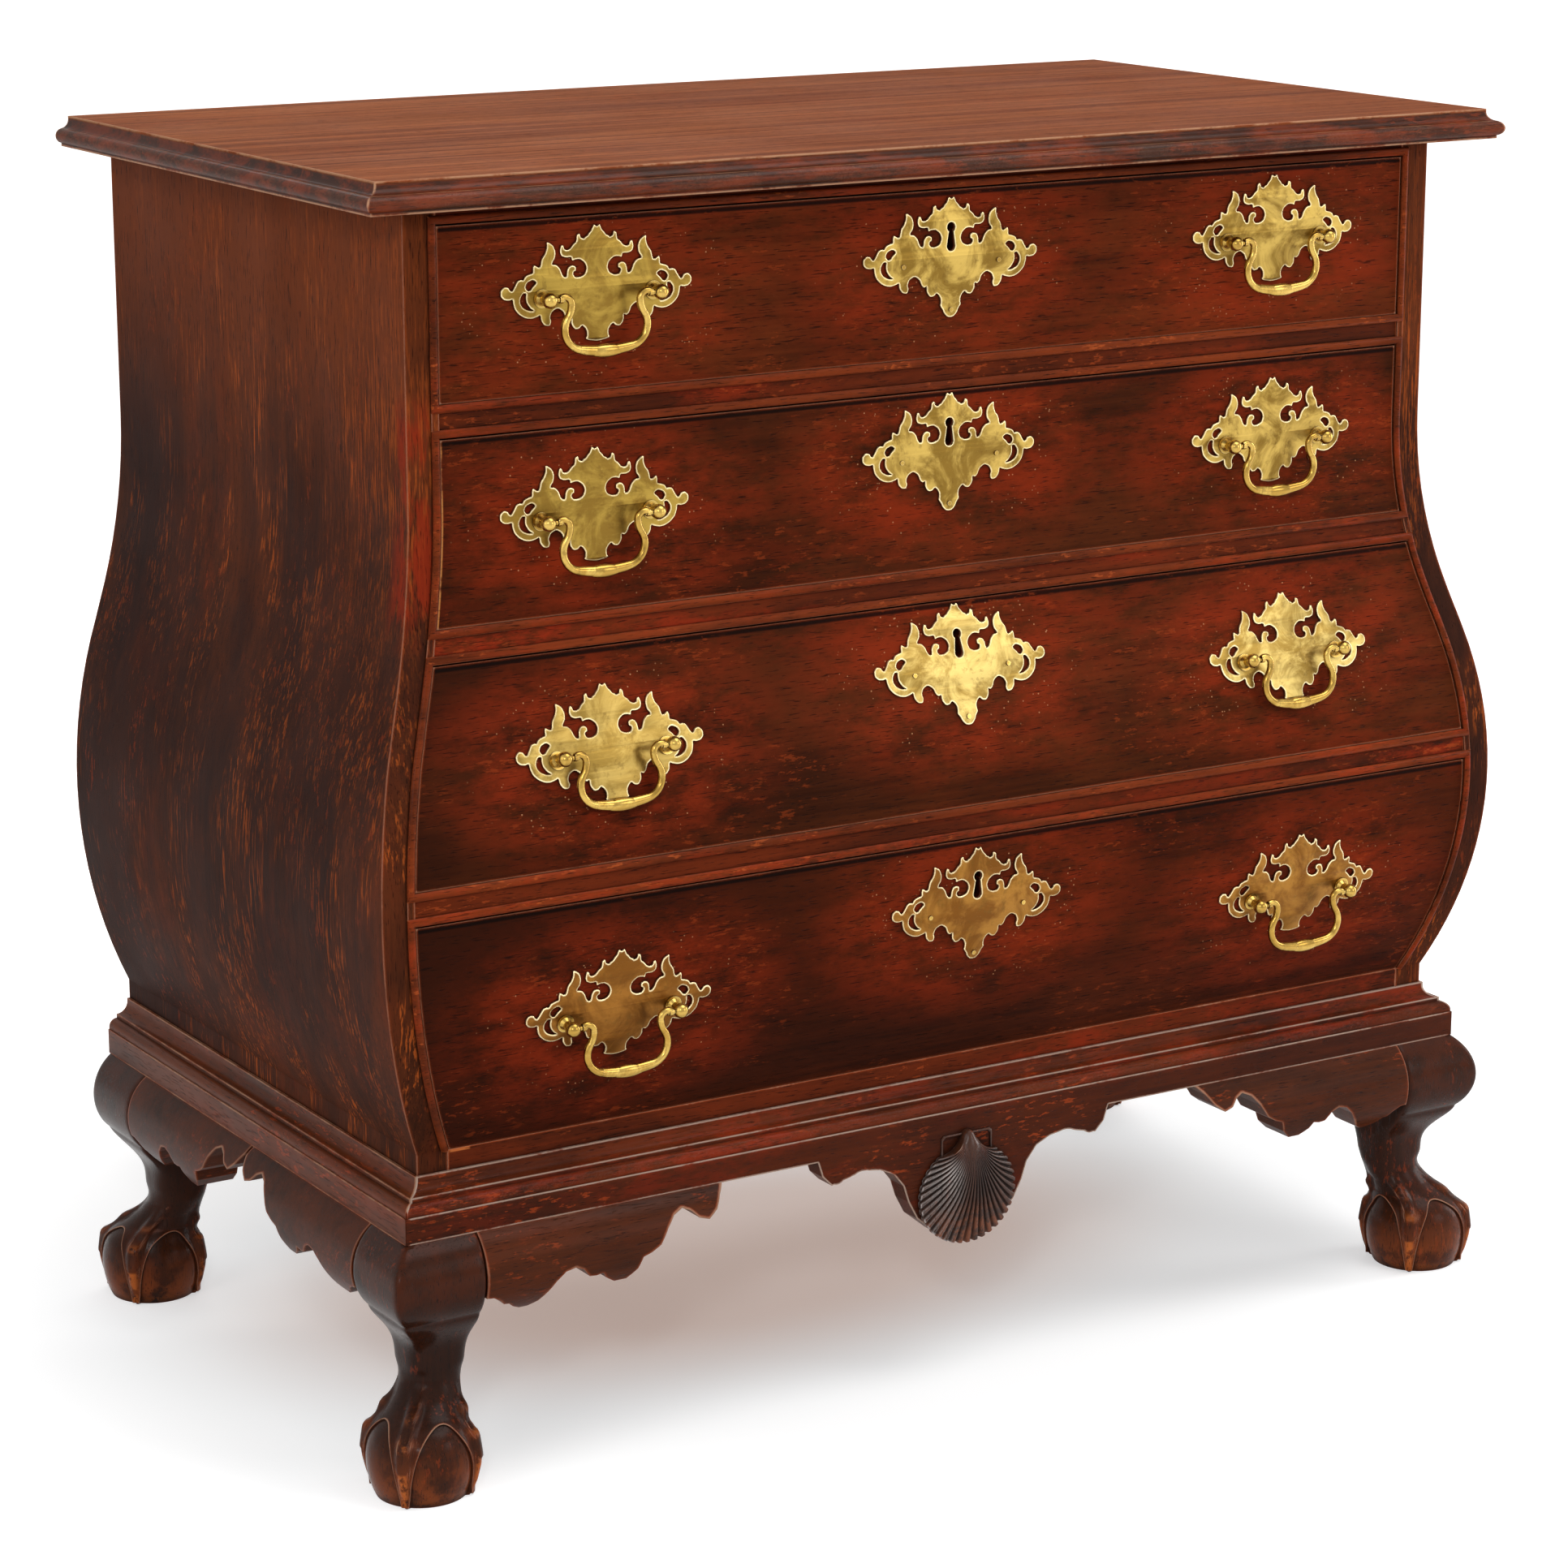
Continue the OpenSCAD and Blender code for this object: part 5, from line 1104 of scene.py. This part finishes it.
shell = nodes_to_mesh("ribbed_shell", shell_tree, {"Half Width": shell_half, "Height": shell_tall,
                                                   "Rise": shell_rise, "Material": shell_wood})
bm = bmesh.new()
bm.from_mesh(shell)
bmesh.ops.translate(bm, vec=(0, shell_back, shell_high.z), verts=bm.verts)
border = [e for e in bm.edges if e.is_boundary]
grown = bmesh.ops.extrude_edge_only(bm, edges=border)
for v in (g for g in grown["geom"] if isinstance(g, bmesh.types.BMVert)):
    v.co.y = shell_back
bmesh.ops.holes_fill(bm, edges=[e for e in bm.edges if e.is_boundary], sides=0)
bmesh.ops.recalc_face_normals(bm, faces=bm.faces)
bm.to_mesh(shell)
bm.free()
shell.shade_smooth()
shell.set_sharp_from_angle(angle=math.radians(50))
settle("ribbed_shell", shell, "case", "mahogany", "pendant_shell")
print("shell faces:", len(shell.polygons))

# %% [markdown]
# ## Bead frames
# Each opening has a half-round bead worked round its edge, mitred at the corners, that bulges out with
# the front. A band does this: an inner line on the opening, an outer line one bead further out, and
# a half-round section carried from the one to the other, so the mitres come by themselves.

# %% A moulded band between two lines
def joined(name, meshes, sharp_degrees, material):
    """One mesh from several, smooth but for edges sharper than an angle."""
    bm = bmesh.new()
    for mesh in meshes:
        bm.from_mesh(mesh)
    whole = bpy.data.meshes.new(name)
    bm.to_mesh(whole)
    bm.free()
    whole.shade_smooth()
    whole.set_sharp_from_angle(angle=math.radians(sharp_degrees))
    whole.materials.append(material)
    return whole


def band_mesh(name, inner, outer, section, closed, placed):
    """Carries a section of (share across, height) points along two lines of (x, z) points, in mm."""
    rows, count = len(section), len(inner)
    points = []
    for line_in, line_out in zip(inner, outer):
        for share, high in section:
            x = line_in[0] + (line_out[0] - line_in[0]) * share
            z = line_in[1] + (line_out[1] - line_in[1]) * share
            points.append(placed(x, z, high))
    faces = []
    for a in range(count if closed else count - 1):
        b = (a + 1) % count
        for row in range(rows):
            after = (row + 1) % rows
            faces.append((a * rows + row, b * rows + row, b * rows + after, a * rows + after))
    if not closed:
        faces += [tuple(range(rows)), tuple(range((count - 1) * rows, count * rows))[::-1]]
    mesh = bpy.data.meshes.new(name)
    mesh.from_pydata(points, [], faces)
    bm = bmesh.new()
    bm.from_mesh(mesh)
    bmesh.ops.recalc_face_normals(bm, faces=bm.faces)
    bm.to_mesh(mesh)
    bm.free()
    return mesh


# %% Frames round the four openings
bead_mm, side_board_mm, bead_steps, band_sharp_degrees = 5.0, 22.0, 31, 40
openings_mm = {1: (695.8, 805.8), 2: (556.8, 675.3), 3: (402.3, 536.3), 4: (224.3, 381.8)}
half_round = [(-0.02, -0.5), (-0.02, 1.25), (0.08, 1.75), (0.2, 2.15), (0.36, 2.42), (0.5, 2.5),
              (0.64, 2.42), (0.8, 2.15), (0.92, 1.75), (1.02, 1.25), (1.02, -0.5)]


def opening_half_mm(z):
    """Half the width of the opening at height z."""
    shape = swell_mm(z, side_swell_mm, side_full_mm, side_start_mm, side_foot_mm)
    return side_flat_mm + shape - side_board_mm


def on_front(x, z, high):
    """A point at x and z on the case front, a little in front of it along its own slope."""
    step = 0.5      # mm over which the slope is measured
    slope = float(front_face((z + step) * MM) - front_face((z - step) * MM)) / (2 * step * MM)
    size = math.hypot(1, slope)
    return (x * MM, float(front_face(z * MM)) - high / size * MM, (z + high * slope / size) * MM)


def opening_line(low, high, grow, grow_low):
    """Up the left side, across, down the right side, grown outwards by a number of mm."""
    heights = np.linspace(low - grow_low, high + grow, bead_steps)
    halves = opening_half_mm(heights) + grow
    left = list(zip(-halves, heights))
    return left + [(x, z) for x, z in zip(halves[::-1], heights[::-1])]


beads = []
for number, (low, high) in openings_mm.items():
    closed = number != 4               # the lowest stands on the band under it
    outer = opening_line(low, high, bead_mm, bead_mm if closed else 0)
    beads.append(band_mesh("bead", opening_line(low, high, 0, 0), outer, half_round, closed, on_front))
bead_frames = joined("bead_frames", beads, band_sharp_degrees, bead_wood)
settle("bead_frames", bead_frames, "case", "mahogany")
print("bead faces:", len(bead_frames.polygons))

# %% Ears of the shell
# Two square ears stand out behind the hinge, drawn by one thin raised line.
ear_half_mm, ear_drop_mm, ear_tall_mm, ear_line_mm, ear_corner_mm = 19.0, 3.6, 13.0, 1.5, 2
ear_top_mm = shell_high.z / MM - ear_drop_mm


def ear_line(grow):
    """Up one side, across and down the other, grown outwards by a number of mm."""
    half, top = ear_half_mm + grow, ear_top_mm + grow
    bottom = ear_top_mm - ear_tall_mm
    left = [(-half, bottom), (-half, top - ear_corner_mm), (-half + ear_corner_mm, top)]
    return left + [(-x, z) for x, z in reversed(left)]


def on_pendant(x, z, high):
    """A point on the flat face behind the shell, or a little in front of it."""
    return (x * MM, shell_back - high * MM, z * MM)


ear_section = [(0, -0.5), (0, 0.7), (0.25, 1.1), (0.75, 1.1), (1, 0.7), (1, -0.5)]
line = band_mesh("ear_line", ear_line(0), ear_line(ear_line_mm), ear_section, False, on_pendant)
shell_ears = joined("shell_ears", [line], band_sharp_degrees, shell_wood)
settle("shell_ears", shell_ears, "case", "mahogany")
print("ear faces:", len(shell_ears.polygons))

# %% [markdown]
# ## Pierced plates
# The plates were sawn from sheet brass and their rims filed to a bevel that catches the light. A flat
# filled curve gives both: its outline is the saw line, its bevel is the filed rim. The mesh is then
# cut into narrow bands, so that it can bend with the drawer front.

# %% Plate outlines, in mm from the middle of the plate
handle_outline_mm = [
    (0, 41.8), (2, 43.4), (3, 41), (3.6, 39.8), (5, 38.5), (6.5, 36.5), (8, 36), (9, 34.8),
    (11.5, 35.8), (12, 38.5), (14, 37.5), (14.2, 33.5), (16.5, 32), (18.5, 29.5), (21, 28.5),
    (23, 29.3), (23.5, 31.5), (25, 32), (26, 28), (25, 25.2), (22, 24), (18, 24.3), (17.5, 22),
    (17.2, 21.8), (15, 22.5), (12, 22.5), (8.5, 20), (7.2, 16.5), (8.5, 13), (12, 11.3),
    (15.5, 11.5), (17, 13.5), (16.5, 15), (15, 15.5), (15, 18), (17, 19), (19.5, 18.5), (21, 16),
    (21.3, 12), (23, 12), (24.5, 13.5), (26, 17.5), (28.5, 20), (31.5, 20.3), (31.5, 21.5),
    (29.5, 24), (29, 28), (30.5, 32), (33.5, 34), (35, 34.3), (34.8, 31), (36, 27.5), (38.5, 24.5),
    (39.5, 19.5), (41, 19), (44, 21), (44.7, 19), (44.6, 16), (47, 15.5), (50, 14.5), (51.5, 12),
    (53, 12.5), (55.5, 12), (57.5, 8.5), (59.5, 5.5), (61, 6.5), (62, 8.3), (65, 8.8), (67.3, 6.5),
    (67.3, 3), (65, 0.8), (61.5, 0.3), (59, 1), (58.8, -2), (57.5, -6), (54, -9.5), (50, -11.5),
    (46, -12), (42, -11), (40, -10), (39.5, -14), (37, -17), (33.5, -17.3), (32.5, -14.5),
    (33.5, -12), (32, -8.5), (28, -6.5), (24, -9), (22.5, -13), (20.5, -14.5), (18.5, -13.5),
    (18.5, -17.5), (16, -20.8), (13, -20.5), (11, -18.5), (9, -20), (7.5, -22.5), (7.5, -25.5),
    (8.5, -27), (6.5, -28), (0, -29)]
key_tab_mm = [(8, -27), (6, -29.5), (5, -32), (2.5, -34.5), (0, -35)]
upper_moon_mm = [(42, 10), (45, 12), (49, 10.5), (50.5, 7.5), (48.5, 5), (46.5, 5.5), (45, 7.5)]
lower_moon_mm = [
    (49.5, 4), (52, 4), (54, 1), (54, -2), (52, -5), (48, -7), (44, -7.2), (47, -5.5), (49.5, -2),
    (50, 1)]
keyhole_lift_mm, keyhole_drop_mm = 23.5, 12.2         # the round eye's middle, and the slot's end below
keyhole_round_mm, keyhole_slot_mm = 3.2, 3.3          # their radii
# half the sheet between its bevels, the width of a bevel, and how close points are welded
sheet_half_m, filed_m, weld_m = 0.00035, 0.00045, 0.00002
plate_gap_m = 0.0008                                  # from the front to the middle of the sheet
bend_low_m, bend_high_m, bend_every_m = -0.034, 0.044, 0.004      # heights at which a plate bends
plate_sharp_degrees = 30


def rounded(points):
    """Cuts each corner of a closed line a little, twice, as a file does."""
    points = np.array(points, float)
    for _ in range(2):
        after = np.roll(points, -1, 0)
        points = np.stack([0.8 * points + 0.2 * after, 0.2 * points + 0.8 * after], 1).reshape(-1, 2)
    return points


def both_halves(half):
    """A closed line from its right half."""
    return half + [(-x, y) for x, y in reversed(half) if x > 0]


def keyhole_line():
    """Round the eye of the keyhole, and round the end of the slot below it."""
    turns = np.radians(np.linspace(-55, 235, 22))
    eye = [(keyhole_round_mm * math.cos(t),
            keyhole_lift_mm + keyhole_round_mm * math.sin(t)) for t in turns]
    end = keyhole_lift_mm - keyhole_drop_mm
    turns = np.radians(np.linspace(180, 360, 12))
    return eye + [(keyhole_slot_mm * math.cos(t), end + keyhole_slot_mm * math.sin(t)) for t in turns]


def plate_mesh(x_mid, z_mid, keyed):
    """One plate, cut out, filed, and bent to the front round its middle."""
    half = handle_outline_mm[:-3] + key_tab_mm if keyed else handle_outline_mm
    loops = [rounded(both_halves(half))]
    for moon in (upper_moon_mm, lower_moon_mm):
        loops += [rounded(moon), rounded([(-x, y) for x, y in moon])]
    if keyed:
        loops.append(np.array(keyhole_line()))
    curve = bpy.data.curves.new("plate", "CURVE")
    curve.dimensions = "2D"
    curve.fill_mode = "BOTH"
    for loop in loops:
        spline = curve.splines.new("POLY")
        spline.points.add(len(loop) - 1)
        flat = np.zeros((len(loop), 4))
        flat[:, :2] = loop * MM
        flat[:, 3] = 1
        spline.points.foreach_set("co", flat.ravel())
        spline.use_cyclic_u = True
    curve.extrude = sheet_half_m
    curve.bevel_depth = filed_m
    curve.bevel_resolution = 2
    curve.offset = -filed_m
    mesh = plain_mesh(bpy.data.objects.new("plate", curve))
    bm = bmesh.new()
    bm.from_mesh(mesh)
    bmesh.ops.remove_doubles(bm, verts=bm.verts, dist=weld_m)
    for band in np.arange(bend_low_m, bend_high_m, bend_every_m):
        every = bm.verts[:] + bm.edges[:] + bm.faces[:]
        bmesh.ops.bisect_plane(bm, geom=every, plane_co=(0, band, 0), plane_no=(0, 1, 0))
    for v in bm.verts:
        u, up, out = v.co
        z = z_mid + up
        v.co = (x_mid + u, float(front_face(z)) - out - plate_gap_m, z)
    bmesh.ops.recalc_face_normals(bm, faces=bm.faces)
    bm.to_mesh(mesh)
    bm.free()
    return mesh


for number in DRAWERS:
    x, z = handle_x[number], handle_z[number]
    three = [plate_mesh(-x, z, False), plate_mesh(0, keyplate_z[number], True), plate_mesh(x, z, False)]
    plates = joined(f"pierced_plates_{number}", three, plate_sharp_degrees, plate_brass[number])
    settle(f"pierced_plates_{number}", plates, f"drawer_{number}", "brass", f"drawer_{number}_plates")
print("plate faces on the last drawer:", len(plates.polygons))
